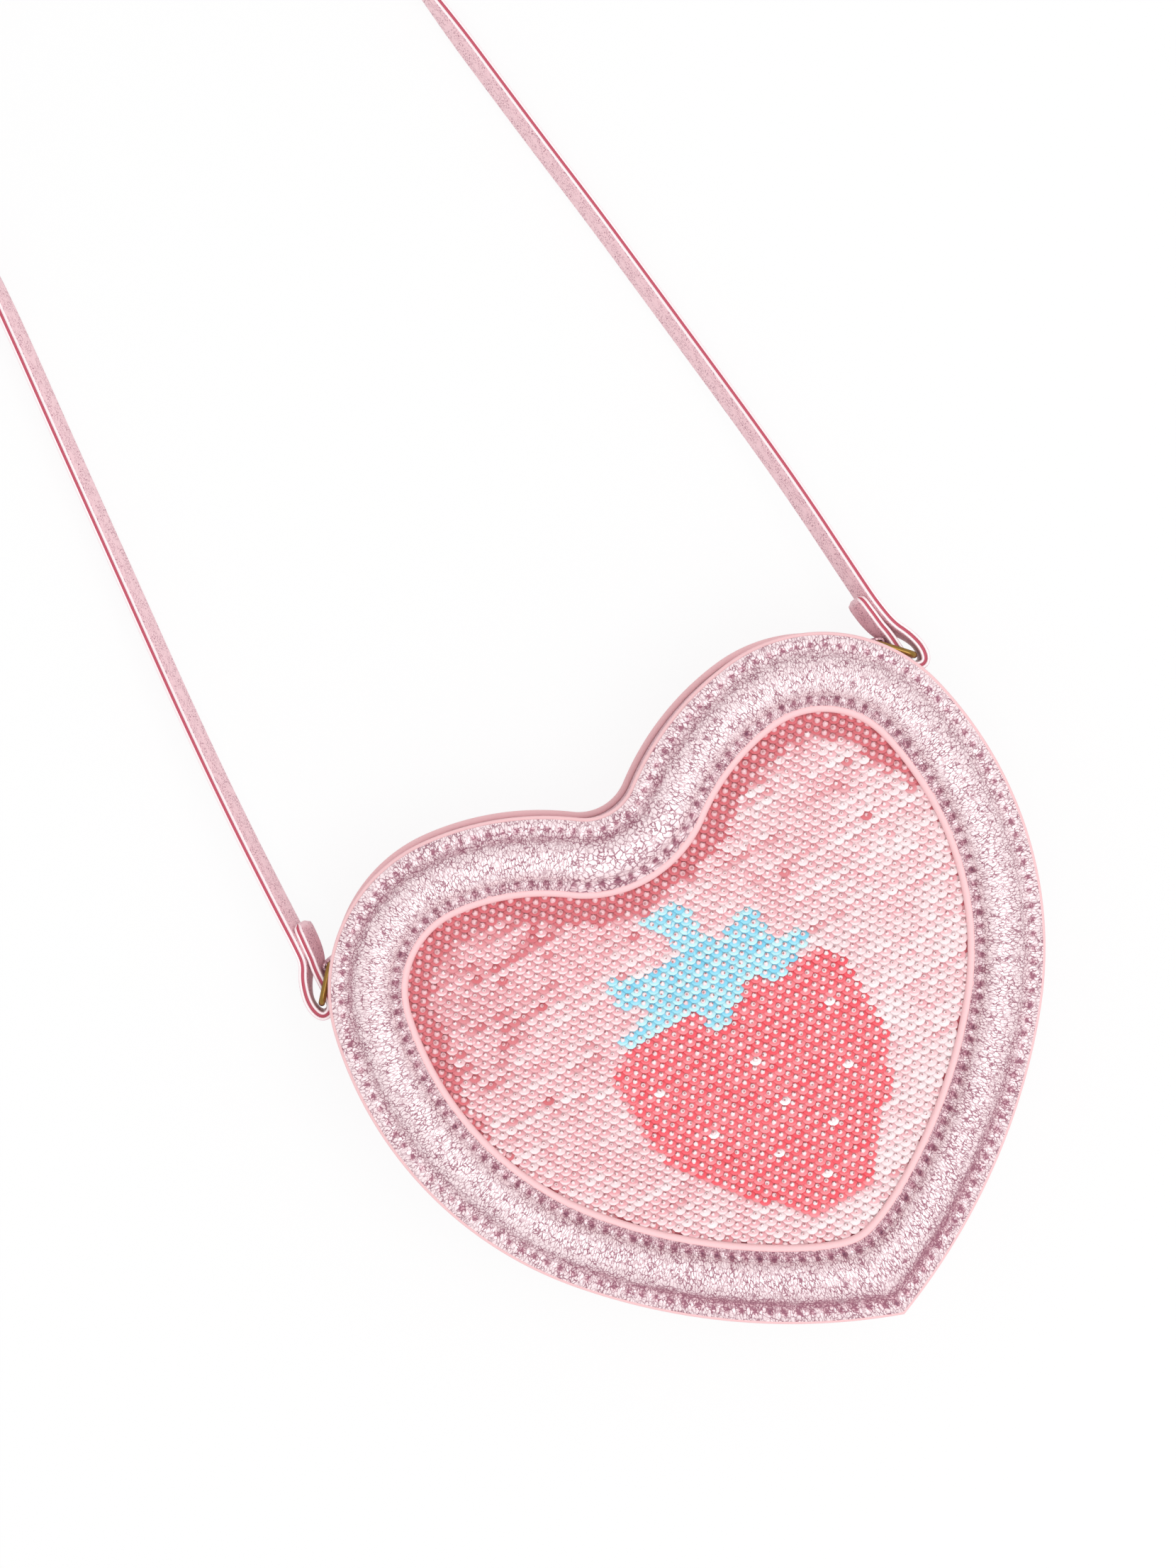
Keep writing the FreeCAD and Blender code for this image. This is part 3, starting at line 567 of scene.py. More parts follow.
# darker copy of the gold for the rings: painted shade of the gap between the loops and the purse
shaded_ring_gold = Finish("shaded_ring_gold", "9c7a40", Metallic=1.0, Roughness=0.32)
teeth_metal = Finish("teeth_metal", "e0be80", Metallic=1.0, Roughness=0.35)
thread = Finish("thread", "ecd0da", Roughness=0.6)
paper = Finish("paper", "efe6da", Roughness=0.9)
leather = Finish("strap_leather", "e3a9b5", Metallic=0.3, Roughness=0.45)
specks = leather.ramp(leather.grain(leather.strip(), 2.2, 3.0), 0.50, 0.62)
specks = specks * leather.ramp(leather.grain(leather.strip(), 0.35), 0.30, 0.60)
leather.set("Base Color", leather.mix(specks, "f7d0d6", "a86a7f"))
leather.bump(leather.grain(leather.strip(), 1.6) - specks, 0.35, 0.10)
strap_core = Finish("strap_core", "c4566a", Roughness=0.6)
# near-white painted highlight on the rounded edges of the strap's skins
strap_edge_highlight = Finish("strap_edge_highlight", "fdeef0", Metallic=0.2, Roughness=0.3)


# Padded border: the leather is drawn down at both rows of stitches and puckers away from each of them
def row_phases(inset, places):
    """Stitch count up to each place along a row, whole stitches to the round."""
    spots = [heart_point(place, inset) for place in places]
    run = [0.0]
    for i in range(len(spots)):
        run.append(run[-1] + (spots[(i + 1) % len(spots)] - spots[i]).length)
    count = round(run[-1] / STITCH_PITCH)
    return [distance / run[-1] * count for distance in run]


def arch(spot, foot_a, foot_b, rise, fullness=2.0):
    """Arch between two feet (place, height); the fuller, the flatter its top."""
    share = (spot - foot_a[0]) / (foot_b[0] - foot_a[0])
    curve = max(1 - abs(2 * share - 1) ** fullness, 0.0) ** (1 / fullness)
    return foot_a[1] + (foot_b[1] - foot_a[1]) * share + rise * curve


def border_arches(inset):
    """Height across the border if the leather were tight over the foam."""
    if inset < EDGE_VALLEY[0]:
        return arch(inset, BORDER_EDGE, EDGE_VALLEY, EDGE_RISE)
    if inset < WINDOW_ROW[0]:
        return arch(inset, EDGE_VALLEY, WINDOW_ROW, CROWN_RISE, CROWN_FULLNESS)
    return arch(inset, WINDOW_ROW, WINDOW_LIP, LIP_RISE)


def border_height(inset):
    """Height across the border, the foam filling out the folds between its arches."""
    spots = [min(max(inset + shift, BORDER_EDGE[0]), WINDOW_INSET) for shift in FOLD_FILL]
    return sum(border_arches(spot) for spot in spots) / len(spots)


def border_insets():
    """Places across the border, closer where it turns down to the stitches."""
    ends = (BORDER_EDGE[0], EDGE_VALLEY[0], WINDOW_ROW[0], WINDOW_INSET)
    spots = []
    for start, end, count in zip(ends, ends[1:], (12, 32, 8)):
        spots += [start + (end - start) * (1 - math.cos(math.pi * k / count)) / 2 for k in range(count)]
    return spots + [WINDOW_INSET]


def pucker(distance, phase, reach):
    """Height lost to a stitch row, and the painted shade it gets: holes pulled down and painted dark,
    folds running off them painted darker by the holes and lighter between them.
    """
    wave = 0.5 + 0.5 * math.cos(math.tau * phase)
    hole = math.exp(-(distance / HOLE_WIDTH) ** 2) * wave ** 3
    fold = math.exp(-distance / reach) * (wave - 0.5)
    mark = math.exp(-(distance / MARK_WIDTH) ** 2) * wave ** 2.5
    return HOLE_DEPTH * hole + FOLD_DEPTH * fold, mark + FOLD_SHADE * fold


def valley_shade(edge):
    """How dark the fold behind the edge row lies, by the place on the outline."""
    shade = 0.46 + 0.22 * smooth_step(edge.y, 30.0, 62.0) + 0.5 * smooth_step(-edge.y, 20.0, 65.0)
    return shade * (1 - 0.5 * smooth_step(edge.x, 10.0, 60.0))


def border_mesh():
    """Border with its puckers, and the painted shade on each point: stitch holes and their folds,
    the fold behind the edge row, the window row, and more over the whole border towards the tip.
    """
    places = stations(BORDER_STEP)
    runs = [row_phases(row[0], places) for row in STITCH_ROWS]
    insets = border_insets()
    rows, painted_shades = [], []
    for i, place in enumerate(places):
        edge = heart_point(place, 0.0)
        shaded = valley_shade(edge)
        # painted shade over the whole border, deepening towards the tip
        crown = 0.14 * smooth_step(-edge.y, 0.0, 55.0)
        stitches = []
        for (inset, reach, sway_seed, pull_seed), run in zip(STITCH_ROWS, runs):
            sway = 0.16 * noise.noise((run[i] * 0.9, sway_seed, 0.0))
            pull = 1 + 0.6 * noise.noise((run[i] * 0.7, pull_seed, 0.0))
            stitches.append((inset, run[i] + sway, reach, pull))
        row = []
        for inset in insets:
            flat = heart_point(place, inset)
            height, stitch_shade = border_height(inset), 0.0
            for row_inset, phase, reach, pull in stitches:
                drop, dark = pucker(abs(inset - row_inset), phase, reach)
                height -= drop * pull
                stitch_shade += dark * pull
            height += 0.22 * noise.noise(flat * 0.33) + 0.12 * noise.noise(flat * 0.9)
            row.append(flat + UP * max(height, BORDER_LEAST))
            # painted shade in the fold behind the edge row, deepest at the lobes, the cleft and the tip,
            # lighter on the right
            valley = math.exp(-((inset - VALLEY_INSET) / VALLEY_WIDTH) ** 2) * shaded
            valley *= 0.68 + 0.5 * noise.noise(flat * 0.4)
            # painted shade along the window row beside the piping
            lip = LIP_SHADE * smooth_step(inset, WINDOW_ROW[0], WINDOW_ROW[0] + LIP_WIDTH)
            folds = min(max(valley * VALLEY_SHADE, 0.0) + crown, MOST_SHADE)
            painted_shades.append(folds + lip + MARK_SHADE * stitch_shade)
        row += [heart_point(place, inset, BORDER_BASE) for inset in (WINDOW_INSET, PANEL_INSET)]
        painted_shades += [0.0, 0.0]
        rows.append(row)
    return marked(grid_mesh("border", rows, closed_round=True, closed_along=True), "painted_shade", painted_shades)


border = show("border", border_mesh(), "metallic_leather", border_leather,
              replaces=("front_border", "border_foam"))

# Bound edges and window piping
for name, inset, height, radius in (("front_welt", WELT_RADIUS, FRONT_WELT_LEVEL, WELT_RADIUS),
                                    ("back_welt", WELT_RADIUS, WELT_RADIUS, WELT_RADIUS),
                                    ("window_piping", PIPING_INSET, PIPING_LEVEL, PIPING_RADIUS)):
    mesh = ring_mesh(name + "_tube", welt_section(inset, height, radius), 0.9)
    show(name + "_tube", mesh, "matte_trim", trim, replaces=(name,))


# Body: back panel, linings, side wall and its lining
def round_length(inset):
    """Length of the outline, set in, in metres."""
    spots = outline(inset)
    return sum((p - q).length for p, q in zip(spots, spots[1:] + spots[:1])) * MM


def flat_area(inset):
    """Area within the outline, set in, in square metres."""
    spots = outline(inset)
    return abs(sum(p.x * q.y - q.x * p.y for p, q in zip(spots, spots[1:] + spots[:1]))) / 2 * MM * MM


def cut_size(inset):
    """Width and length of the outline, set in, in metres."""
    spots = outline(inset)
    return tuple((max(s[k] for s in spots) - min(s[k] for s in spots)) * MM for k in (0, 1))


for name, inset, base, thickness, slot, finish, rest in (
        ("back_panel", PANEL_INSET, 0.0, PANEL_THICKNESS, "metallic_leather", shaded_side_leather, "back_board"),
        ("back_lining", LINING_INSET, GUSSET_BASE, LINING_THICKNESS, "lining_cloth", lining, "back_board"),
        ("front_lining", LINING_INSET, GUSSET_TOP - LINING_THICKNESS, LINING_THICKNESS, "lining_cloth",
         lining, "front_board")):
    mesh = panel_mesh(name + "_sheet", inset, base, base + thickness)
    piece = show(name + "_sheet", mesh, slot, finish, replaces=(name,))
    cut_size(inset)
    flat_area(inset)
for name, inset, thickness, margin, slot, finish in (
        ("gusset", GUSSET_INSET, GUSSET_THICKNESS, 0.0, "metallic_leather", shaded_side_leather),
        ("gusset_lining", GUSSET_LINING_INSET, LINING_THICKNESS, LINING_SLOT_MARGIN, "lining_cloth", lining)):
    mesh = wall_mesh(name + "_sheet", inset, thickness, GUSSET_BASE, GUSSET_TOP, margin)
    show(name + "_sheet", mesh, slot, finish, replaces=(name,))
round_length(3.85)

# Sequin window: the cloth, then staggered rows of sequins, each held by a clear bead at its middle
cloth_mesh = panel_mesh("sequin_cloth", CLOTH_INSET, CLOTH_BASE, SEQUIN_LEVEL - CLOTH_DROP, DOME_RISE)
cloth_sheet = show("sequin_cloth", cloth_mesh, "sequin_cloth", cloth, replaces=("sequin_panel",))
window_edge = outline(WINDOW_EDGE_INSET, WINDOW_EDGE_STEP)


def inside(spot, edge):
    """True within a closed line."""
    within = False
    for a, b in zip(edge, edge[1:] + edge[:1]):
        if (a.y > spot.y) != (b.y > spot.y) and spot.x < a.x + (b.x - a.x) * (spot.y - a.y) / (b.y - a.y):
            within = not within
    return within


# Figure of the strawberry, mm: edges of the berry and of its leaves, and the seeds
BERRY_EDGE = [Vector((*corner, 0.0)) for corner in (
    (18, 9.4), (24.9, 9.7), (30, 6.1), (30.2, 1.5), (29.7, -5), (30.6, -15.6), (29.9, -19.1), (25.4, -26),
    (19.4, -33.7), (13.7, -38.7), (10.9, -42.7), (8.7, -45.3), (5.4, -46.7), (-6.3, -45.7), (-9, -42.7),
    (-12.2, -38.5), (-15.8, -37), (-22.7, -27.8), (-28.8, -19.1), (-30.5, -15.3), (-31, -10.5), (-31.4, 3.7),
    (-30.9, 7.3), (-26.9, 10), (-10, 12), (10, 12))]
LEAF_EDGE = [Vector((*corner, 0.0)) for corner in (
    (-7.1, 35.6), (-3.7, 36.4), (0.8, 36.2), (3.8, 34.2), (4.8, 30.4), (3.7, 26.9), (4.7, 24), (8.2, 22.9),
    (11.3, 24.3), (16, 26.9), (18.4, 26.1), (18.4, 22.9), (17.4, 18.9), (17.9, 15.8), (25, 15.3), (26.5, 14),
    (23.8, 10.9), (20, 9.9), (16.3, 8.4), (14.4, 6.8), (12, 7.3), (10.9, 10.2), (6.5, 10.5), (3.8, 6.6),
    (1.1, 6.8), (-1.8, 3.4), (-5.3, 3.8), (-5.9, 8.2), (-7.4, 10.4), (-12.3, 11.5), (-22.3, 10.9),
    (-26.1, 12.2), (-25.4, 15), (-21.3, 14.9), (-16.6, 15.9), (-17.7, 17.9), (-21.1, 19.9), (-22.4, 22.5),
    (-21.4, 26.5), (-18.8, 27.8), (-16.3, 25.8), (-12.3, 23.9), (-6.8, 23.9), (-3, 24.9), (-2.7, 27.9),
    (-4.2, 30.7))]
SEEDS = ((22.6, -2.8), (17.4, -17.9), (-0.5, -7.5), (-24.4, -1.8), (0.2, -17.6), (7.8, -27.9),
         (-17.1, -17.2), (-6.8, -27.6), (0.9, -37.9))

# Kinds of sequin: colours (deep, middle, pale, rim) and the radius of their beads; in the field, deep serves
# for painted shade and pale for painted highlight besides the sequins' own tones
SEQUIN_KINDS = {"field": (("de747c", "f5b9c0", "fff4f5", "d68a94"), 0.54),
                "band": (("de747c", "f5b9c0", "fff4f5", "d68a94"), 0.82),
                "berry": (("f95463", "fb707b", "fe9ba3", "e5404f"), 0.66),
                "leaf": (("78d6f4", "a6eafa", "d4fbfd", "58b8d8"), 0.66),
                "seed": (("ffffff", "ffffff", "ffffff", "f3c9cd"), 0.66)}


def figure_kind(x, y):
    """Kind of the sequin at a place, by the figure alone."""
    spot = Vector((x, y, 0.0))
    if inside(spot, LEAF_EDGE):
        return "leaf"
    if not inside(spot, BERRY_EDGE):
        return "field"
    seed = any(abs(x - at[0]) <= SEQUIN_PITCH / 2 and abs(y - at[1]) <= SEQUIN_ROW / 2 for at in SEEDS)
    return "seed" if seed else "berry"


def field_sequin(x, y, row, near, chance):
    """Kind and paleness of a sequin of the field: deep in a band of painted shade along the edge, widest at
    the top, in drifts elsewhere, with painted highlight towards the lower right and painted shade towards the
    top.
    """
    depth = 2.0 + 5.5 * smooth_step(y, 0.0, 40.0) if x < 0 else 1.0 + 6.5 * smooth_step(y, 24.0, 44.0)
    band_shade = 1 - smooth_step(near + chance * 0.8, depth - 3.0, depth)
    drift = noise.noise((x * 0.05, row * 0.9, 1.0)) + 0.6 * noise.noise((x * 0.16, row * 1.7, 4.0))
    pale = 0.57 + 0.28 * drift + 0.14 * chance + 0.22 * (row % 2 - 0.5)
    off = Vector((x, y, 0.0)) - HEART_MIDDLE
    # painted highlight towards the lower right and the bottom, painted shade towards the top
    pale += 0.20 * smooth_step(off.x * 0.75 - off.y * 0.65, -5.0, 48.0)
    pale += 0.20 * smooth_step(off.x * 0.55 - off.y, 45.0, 75.0)
    pale -= 0.24 * smooth_step(off.y - off.x * 0.5, 30.0, 56.0)
    pale -= 0.34 if random.random() < 0.02 else 0.0
    return "band" if band_shade > 0.5 else "field", pale * (1 - 0.95 * band_shade)


def sequin_spots():
    """Places of all sequins by kind, each with its tilt and how pale it shows."""
    random.seed(11)
    kinds = {kind: [] for kind in SEQUIN_KINDS}
    for row in SEQUIN_ROWS:
        y = row * SEQUIN_ROW
        for i in SEQUINS_ACROSS:
            x = (i + 0.5 * (row % 2)) * SEQUIN_PITCH
            spot = Vector((x, y, 0.0))
            if not inside(spot, window_edge):
                continue
            near = min((spot - corner).length for corner in window_edge)
            height = SEQUIN_LEVEL + DOME_RISE * smooth_step(near, *DOME_REACH) + SEQUIN_LIFT
            kind = figure_kind(x, y)
            chance = random.uniform(-1, 1)
            if kind == "field":
                kind, pale = field_sequin(x, y, row, near, chance)
            else:
                pale = 0.25 + 0.5 * (row % 2) + 0.12 * chance
            tilt = [math.radians(lean + random.uniform(-TILT_SPREAD, TILT_SPREAD)) for lean in SEQUIN_TILT]
            kinds[kind].append((Vector((x, y, height)), (*tilt, 0.0), min(max(pale, 0.0), 1.0)))
    return kinds


def sequin_shape():
    """Thin cupped disc with a hole, its rim marked, and the side of it that takes a painted highlight."""
    profile, sides = [(0.30, 0.05), (0.88, 0.09), (1.0, 0.13), (0.6, -0.06)], 10
    rows = [[(radius * c, radius * s, z) for radius, z in profile] for c, s in turned(sides)]
    mesh = grid_mesh("sequin", rows, closed_round=True, closed_along=True)
    marked(mesh, "mark", [0, 0, 1, 1] * sides)
    lit = [max(math.cos(math.tau * k / sides - GLEAM_ANGLE), 0.0) for k in range(sides)]
    return marked(mesh, "gleam", [value for share in lit for value in (0.0, share, share, 0.0)])


def bead_shape():
    """Round bead, the cap over its hole marked to take painted shade."""
    angles, sides = (0.30, 0.75, 1.5, 2.6), 7
    rows = [[(math.sin(a) * c, math.sin(a) * s, math.cos(a)) for c, s in turned(sides)] for a in angles]
    stitch_shade = [1] * sides + [0] * sides * (len(angles) - 1)
    return marked(grid_mesh("bead", rows, closed_round=True, capped=True), "mark", stitch_shade)


def stitch_shape():
    """One stitch lying along X, its ends going down."""
    line = [(-1.0, -0.55), (-0.8, -0.05), (-0.35, 0.12), (0.35, 0.12), (0.8, -0.05), (1.0, -0.55)]
    radius, sides = 0.26, 5
    rows = [[(x, radius * c, z + radius * s) for c, s in turned(sides)] for x, z in line]
    return grid_mesh("stitch", rows, closed_round=True, capped=True)


def scatter_tree():
    """Sets one shape on every point, turned as the point says and a little at random."""
    tree = bpy.data.node_groups.new("scatter", "GeometryNodeTree")
    for name, kind in (("Points", "Geometry"), ("Shape", "Object"), ("Size", "Float"), ("Sway", "Float"),
                       ("Seed", "Int"), ("Finish", "Material")):
        tree.interface.new_socket(name, in_out="INPUT", socket_type="NodeSocket" + kind)
    tree.interface.new_socket("Pieces", in_out="OUTPUT", socket_type="NodeSocketGeometry")
    graph = Graph(tree)
    entry = tree.nodes.new("NodeGroupInput")
    given = {socket.name: Wire(graph, socket) for socket in entry.outputs if socket.name}
    tilt = graph.node("GeometryNodeInputNamedAttribute", {"data_type": "FLOAT_VECTOR"}, {"Name": "tilt"})
    chance = graph.node("FunctionNodeRandomValue", {"data_type": "FLOAT_VECTOR"},
                        {"Min": (-1, -1, -1), "Max": (1, 1, 1), "Seed": given["Seed"]})
    sway = graph.node("ShaderNodeVectorMath", {"operation": "SCALE"}, {0: chance, "Scale": given["Sway"]})
    turn = graph.node("FunctionNodeEulerToRotation", None,
                      {0: graph.node("ShaderNodeVectorMath", {"operation": "ADD"}, {0: tilt, 1: sway})})
    shape = graph.node("GeometryNodeObjectInfo", None, {"Object": given["Shape"]}, "Geometry")
    copies = graph.node("GeometryNodeInstanceOnPoints", None, {
        "Points": given["Points"], "Instance": shape, "Rotation": turn, "Scale": given["Size"]})
    real = graph.node("GeometryNodeRealizeInstances", None, {"Geometry": copies})
    done = graph.node("GeometryNodeSetMaterial", None, {"Geometry": real, "Material": given["Finish"]})
    leave = tree.nodes.new("NodeGroupOutput")
    graph.feed(leave.inputs[0], done)
    return tree


SCATTER = scatter_tree()
SOCKETS = {item.name: item.identifier for item in SCATTER.interface.items_tree if item.in_out == "INPUT"}


def scattered(name, spots, shape, size, sway, seed, finish):
    """Mesh of one shape on every spot (place, tilt, paleness)."""
    points = bpy.data.meshes.new(name + "_points")
    points.from_pydata([spot * MM for spot, _, _ in spots], [], [])
    tilts = points.attributes.new("tilt", "FLOAT_VECTOR", "POINT")
    tilts.data.foreach_set("vector", [value for _, tilt, _ in spots for value in tilt])
    holder = placed(name + "_points", marked(points, "pale", [pale for _, _, pale in spots]))
    source = placed(name + "_shape", shape)
    modifier = holder.modifiers.new("scatter", "NODES")
    modifier.node_group = SCATTER
    for key, value in (("Shape", source), ("Size", size), ("Sway", sway), ("Seed", seed),
                       ("Finish", finish.material)):
        modifier[SOCKETS[key]] = value
    mesh = made_mesh(holder)
    mesh.name = name
    bpy.data.objects.remove(holder)
    bpy.data.objects.remove(source)
    return mesh


def sequin_finish(name, deep, middle, pale, rim):
    """Glossy sequin plastic: its depth of colour follows each sequin's paleness, which holds its own tone
    and, in the field, painted shade and highlight; its lower side gets a painted highlight and its rim is
    darker."""
    finish = Finish(name, middle, Roughness=0.3, Coat_Weight=0.2)
    shade, mark, gleam = (finish.reading(key) for key in ("pale", "mark", "gleam"))
    low = finish.mix(finish.ramp(shade, 0.0, 0.45), deep, middle)
    body = finish.mix(finish.ramp(shade, 0.45, 1.0), low, pale)
    # painted highlight on the lower side of each sequin
    body = finish.mix(finish.ramp(gleam, 0.3, 0.75) * finish.ramp(shade, 0.1, 0.5) * 0.8, body, pale)
    finish.set("Base Color", finish.mix(finish.ramp(mark, 0.35, 1.0) * 0.55, body, rim))
    return finish


spots_by_kind = sequin_spots()
for kind, (colours, _) in SEQUIN_KINDS.items():
    finish = sequin_finish(kind + "_sequin", *colours)
    mesh = scattered(kind + "_sequins", spots_by_kind[kind], sequin_shape(), SEQUIN_SIZE / 2, 0.05, 3, finish)
    show(kind + "_sequins", mesh, "sequin_cloth")
bead = Finish("bead", "fbf0f1", Roughness=0.12, Coat_Weight=0.6)
# beads on sequins in painted shade are pinker: painted shade
glass = bead.mix(bead.ramp(bead.reading("pale"), 0.05, 0.25), "eebfc4", "fbe8ea")
# the cap over each bead's hole painted dark as its shade
bead.set("Base Color", bead.mix(bead.ramp(bead.reading("mark"), 0.3, 0.9), glass, "bd8084"))
for kind, (_, radius) in SEQUIN_KINDS.items():
    spots = [(spot + UP * BEAD_LIFT, tilt, pale) for spot, tilt, pale in spots_by_kind[kind]]
    mesh = scattered(kind + "_beads", spots, bead_shape(), radius, 0.8, 5, bead)
    show(kind + "_beads", mesh, "sequin_cloth")

cut_size(16.8)
flat_area(16.8)


# Stitches of both rows of the border
def stitch_spots(inset, height):
    """Place and turn of each stitch in a row, half way between two holes."""
    places = stations(BORDER_STEP)
    phases = row_phases(inset, places)
    spots = []
    for i, place in enumerate(places):
        if phases[i] >= len(spots) + 0.5:
            ahead = heart_point(places[(i + 1) % len(places)], inset) - heart_point(place, inset)
            spots.append((heart_point(place, inset, height), (0.0, 0.0, math.atan2(ahead.y, ahead.x)), 0.5))
    return spots


for name, (inset, height) in STITCH_LEVELS.items():
    mesh = scattered(name, stitch_spots(inset, height), stitch_shape(), STITCH_HALF, 0.06, 8, thread)
    show(name, mesh, "metallic_leather")

# Zip tapes; the teeth, stops, slider and pull keep their own solids
for name, base in TAPE_BASES.items():
    outer, inner = TAPE_RADII
    section = ((outer, base), (outer, base + TAPE_WIDTH), (inner, base + TAPE_WIDTH), (inner, base))
    rows = []
    for k in range(TAPE_STEPS + 1):
        angle = math.radians(ZIP_TOP_ANGLE + TAPE_MARGIN - (ZIP_SWEEP + 2 * TAPE_MARGIN) * k / TAPE_STEPS)
        across, up = math.cos(angle), math.sin(angle)
        rows.append([Vector((SIDE_CENTRE[0] + radius * across, SIDE_CENTRE[1] + radius * up, height))
                     for radius, height in section])
    mesh = grid_mesh(name + "_sheet", rows, closed_round=True, capped=True)
    show(name + "_sheet", mesh, "zip_cloth", tape, replaces=(name,))
round_length(2.3)

for names, finish in ((("zip_teeth_front", "zip_teeth_back", "zip_stops"), teeth_metal),
                      (("zip_slider", "zip_pull"), gold), (("left_ring", "right_ring"), shaded_ring_gold),
                      (("front_board", "back_board"), board), (("strap_tie",), paper)):
    for name in names:
        dress(name, finish)


# Strap route from the right ring to the left, mm: each run, its corner, and the roll of the spare length
def roll_turns():
    """Twelve points a turn round the half circles (height, radius, from the top, by the left)."""
    turns = [(1.8, 27.0, True, True), (-1.8, 23.4, False, False), (1.8, 19.8, True, True),
             (-9.0, 9.0, False, False), (9.0, 9.0, False, True), (-1.8, 19.8, True, False),
             (1.8, 23.4, False, True)]
    points = []
    for height, radius, from_top, by_left in turns:
        reach = radius / math.cos(math.radians(15))
        for k in range(6):
            angle = math.radians(15 + 30 * k)
            rise = math.cos(angle) if from_top else -math.cos(angle)
            sweep = -math.sin(angle) if by_left else math.sin(angle)
            points.append((ROLL_CENTRE[0] + reach * sweep, ROLL_CENTRE[1] + height + reach * rise,
                           ROLL_LEVEL))
    return points


RIGHT_RUN = [(79.8, 75.0, 18.6), (79.5, 81.0, 17.7), (78.6, 103.0, 14.4), (77.0, 124.0, 11.2),
             (75.1, 145.0, 8.0), (73.0, 167.0, 5.4), (70.7, 188.0, 5.4), (68.0, 209.0, 5.4),
             (63.2, 250.6, 5.4), (56.2, 311.8, 5.4)]
LEFT_RUN = [(-57.4, 308.2, 5.4), (-64.2, 238.0, 5.4), (-67.7, 208.5, 5.4), (-71.6, 174.0, 5.4),
            (-74.0, 152.0, 6.9), (-75.9, 133.5, 9.7), (-78.2, 106.0, 13.9), (-79.56, 81.0, 17.7),
            (-79.8, 75.0, 18.6)]
LOOPS = {"right": [(79.8, 75.0, 18.6), (80.05, 70.0, 19.35), (81.4, 64.8, 19.0), (84.0, 60.8, 19.0),
                   (85.4, 56.5, 19.0), (84.4, 52.7, 19.0), (80.9, 53.2, 19.0), (80.1, 58.0, 19.0),
                   (79.4, 62.8, 19.0), (77.9, 67.5, 19.0), (77.3, 74.6, 18.6)],
         "left": [(-79.8, 75.0, 18.6), (-80.0, 70.0, 19.35), (-80.6, 66.0, 19.0), (-83.6, 62.3, 19.0),
                  (-85.6, 57.0, 19.0), (-84.4, 52.5, 19.0), (-80.9, 53.2, 19.0), (-80.1, 58.0, 19.0),
                  (-79.4, 62.8, 19.0), (-77.9, 67.5, 19.0), (-77.3, 75.0, 18.6)]}

# Leather tab of the right ring, mm: up its outer tail, round the ring's bar and back under
TAB_BASE, TAB_TOP, TAB_THICKNESS = 15.0, 23.0, 0.66
TAB_TURN = math.radians(37.43)
TAB_BAR = Vector((76.1526, 62.7951))
TAB_OUT, TAB_BACK, TAB_DOWN = 1.45, 1.35, 1.45
OUTER_TAIL = (37.72, (48.3, 43.5, 40.6))
INNER_TAIL = (37.0, (39.5, 43.5, 48.3))


def tab_tail(radius, angles):
    """Points of a tail along the lobe."""
    return [Vector(LOBE_CENTRE) + radius * Vector((math.cos(angle), math.sin(angle)))
            for angle in map(math.radians, angles)]


tab_out = Vector((math.cos(TAB_TURN), math.sin(TAB_TURN)))
tab_down = Vector((tab_out.y, -tab_out.x)) * TAB_DOWN
bar_front, bar_back = TAB_BAR + tab_out * TAB_OUT, TAB_BAR - tab_out * TAB_BACK
tab_route = [*tab_tail(*OUTER_TAIL), bar_front, bar_front + tab_down, bar_back + tab_down, bar_back,
             *tab_tail(*INNER_TAIL)]

strap_finishes = (leather, strap_core, strap_edge_highlight)
strap_line = route_line(RIGHT_RUN + roll_turns() + LEFT_RUN)
strap = show("strap", strap_mesh("strap", strap_line), "strap_leather", *strap_finishes,
             replaces=("strap_right_run", "strap_left_run", "strap_roll"))
for side, sign in (("right", 1), ("left", -1)):
    mesh = strap_mesh(side + "_loop", route_line(LOOPS[side]), round_end=True)
    loop = show(side + "_loop", mesh, "strap_leather", *strap_finishes, body=None,
                replaces=(side + "_strap_loop",))
    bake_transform(loop)
    tab_line = route_line([(sign * x, y, MIDDLE) for x, y in tab_route])
    mesh = ribbon_mesh(side + "_tab_leather", tab_line, TAB_BASE, TAB_TOP, TAB_THICKNESS)
    tab = show(side + "_tab_leather", mesh, "metallic_leather", shaded_side_leather, replaces=(side + "_tab",))

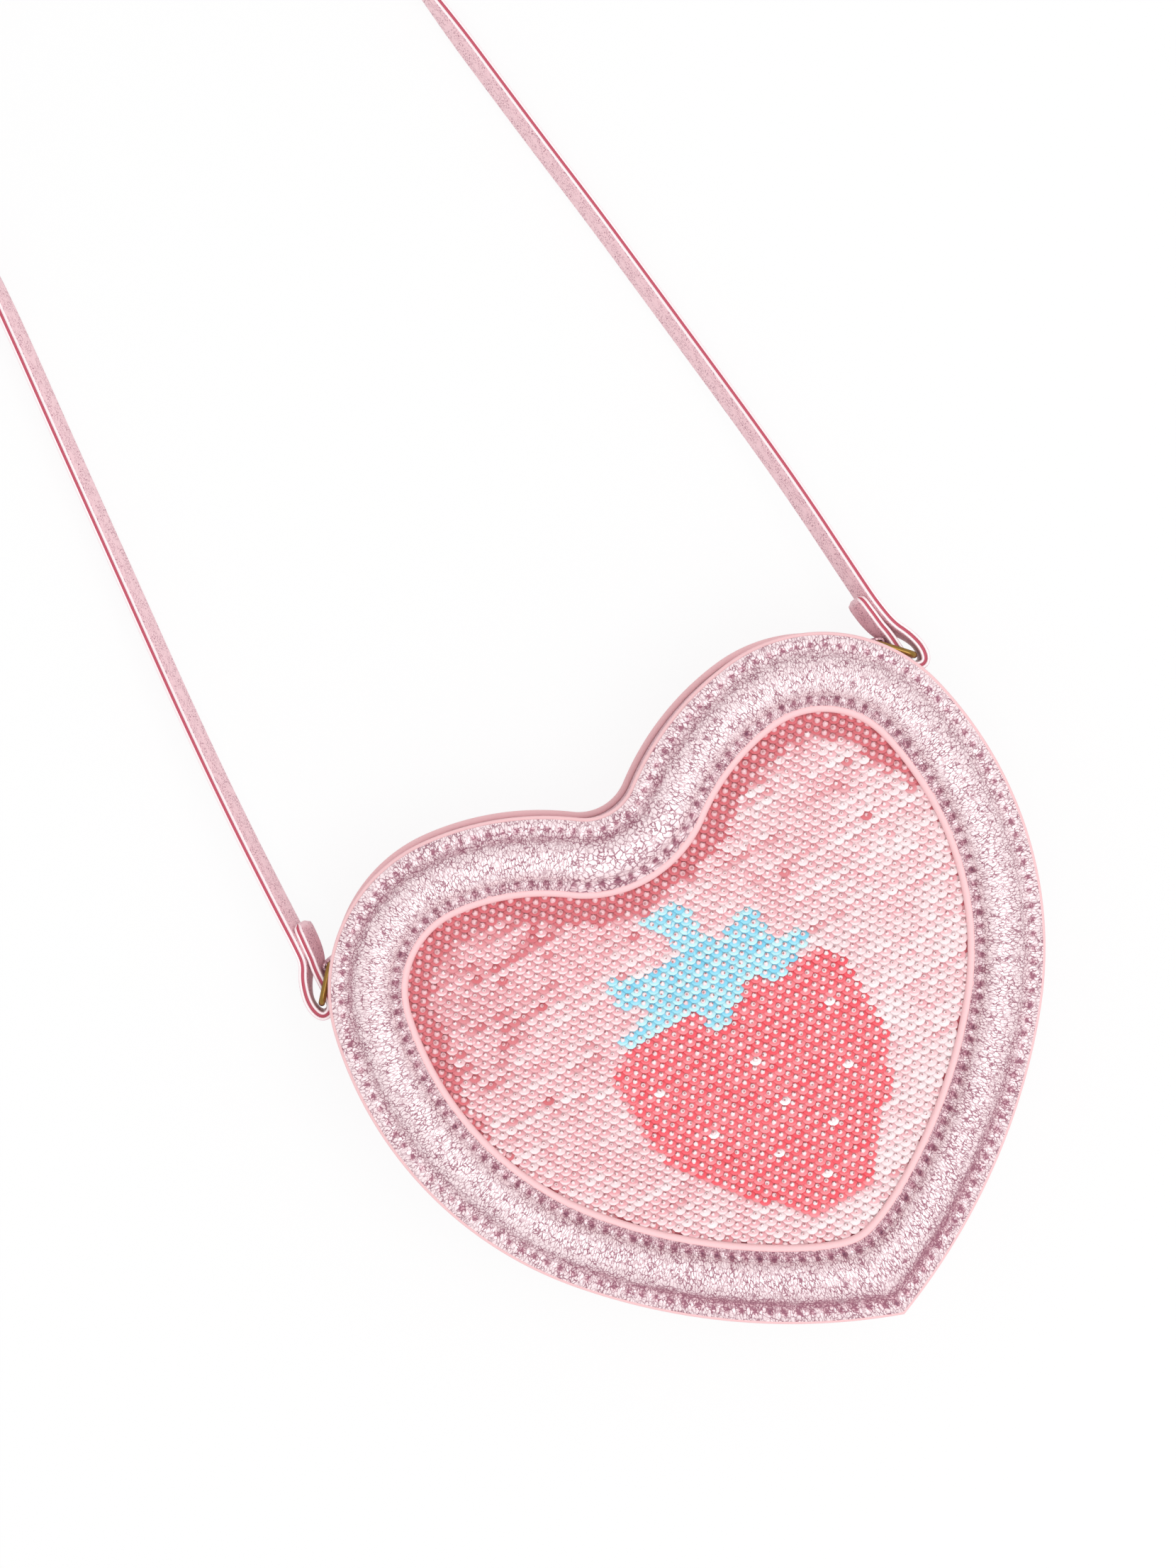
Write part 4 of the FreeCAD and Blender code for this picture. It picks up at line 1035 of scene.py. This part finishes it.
# Camera above the purse, turned so that the heart leans as it was seen
CAMERA_PLACE = Vector((-16.660, 110.651, 910.674)) * MM
PICTURE_RIGHT = Vector((0.862191, -0.505051, 0.039104))
TOWARDS_CAMERA = Vector((-0.017739, 0.047043, 0.998735)).normalized()
picture_up = TOWARDS_CAMERA.cross(PICTURE_RIGHT).normalized()
picture_right = picture_up.cross(TOWARDS_CAMERA)
camera = placed("camera", bpy.data.cameras.new("camera"))
camera.data.sensor_fit = "VERTICAL"
camera.data.sensor_height = 36.0
camera.data.lens = 85.0
turn = Matrix((picture_right, picture_up, TOWARDS_CAMERA)).transposed().to_4x4()
camera.matrix_world = Matrix.Translation(CAMERA_PLACE) @ turn
scene.camera = camera

# Floor, white to the camera and in reflections, with the purse's own soft shadow on it
FLOOR_HALF, FLOOR_DROP = 3000, -0.4
FLOOR_GLOW = 0.88
floor_finish = Finish("floor", "f2f2f2", Roughness=0.9)
white = floor_finish.node("ShaderNodeEmission", None, {"Color": (1, 1, 1, 1), "Strength": 1.0})
path = floor_finish.node("ShaderNodeLightPath").socket.node
seen = Wire(floor_finish, path.outputs["Is Camera Ray"])
for ray in ("Is Glossy Ray", "Is Transmission Ray"):
    seen = seen.math("MAXIMUM", seen, Wire(floor_finish, path.outputs[ray]))
lit = Wire(floor_finish, floor_finish.shader.outputs[0])
mixed = floor_finish.node("ShaderNodeMixShader", None, {0: seen * FLOOR_GLOW, 1: lit, 2: white})
floor_finish.feed(floor_finish.tree.nodes["Material Output"].inputs["Surface"], mixed)
corners = [(x * FLOOR_HALF, y * FLOOR_HALF, FLOOR_DROP) for x, y in ((-1, -1), (1, -1), (1, 1), (-1, 1))]
floor = placed("floor", finished_mesh("floor", corners, [(0, 1, 2, 3)], turn_out=False))
floor.data.materials.append(floor_finish.material)

# Light: an even room and one large softbox overhead, a little towards the lower right of the picture
scene.world = bpy.data.worlds.new("studio")
scene.world.use_nodes = True
room = scene.world.node_tree.nodes["Background"]
room.inputs["Color"].default_value = (1, 1, 1, 1)
room.inputs["Strength"].default_value = 0.8
lamp = placed("softbox", bpy.data.lights.new("softbox", "AREA"))
lamp.data.shape = "RECTANGLE"
lamp.data.size = 1.0
lamp.data.size_y = 1.0
lamp.data.energy = 7.5
lamp.matrix_world = Matrix.Translation((0.15, -0.2, 1.3))
scene.view_settings.view_transform = "Standard"
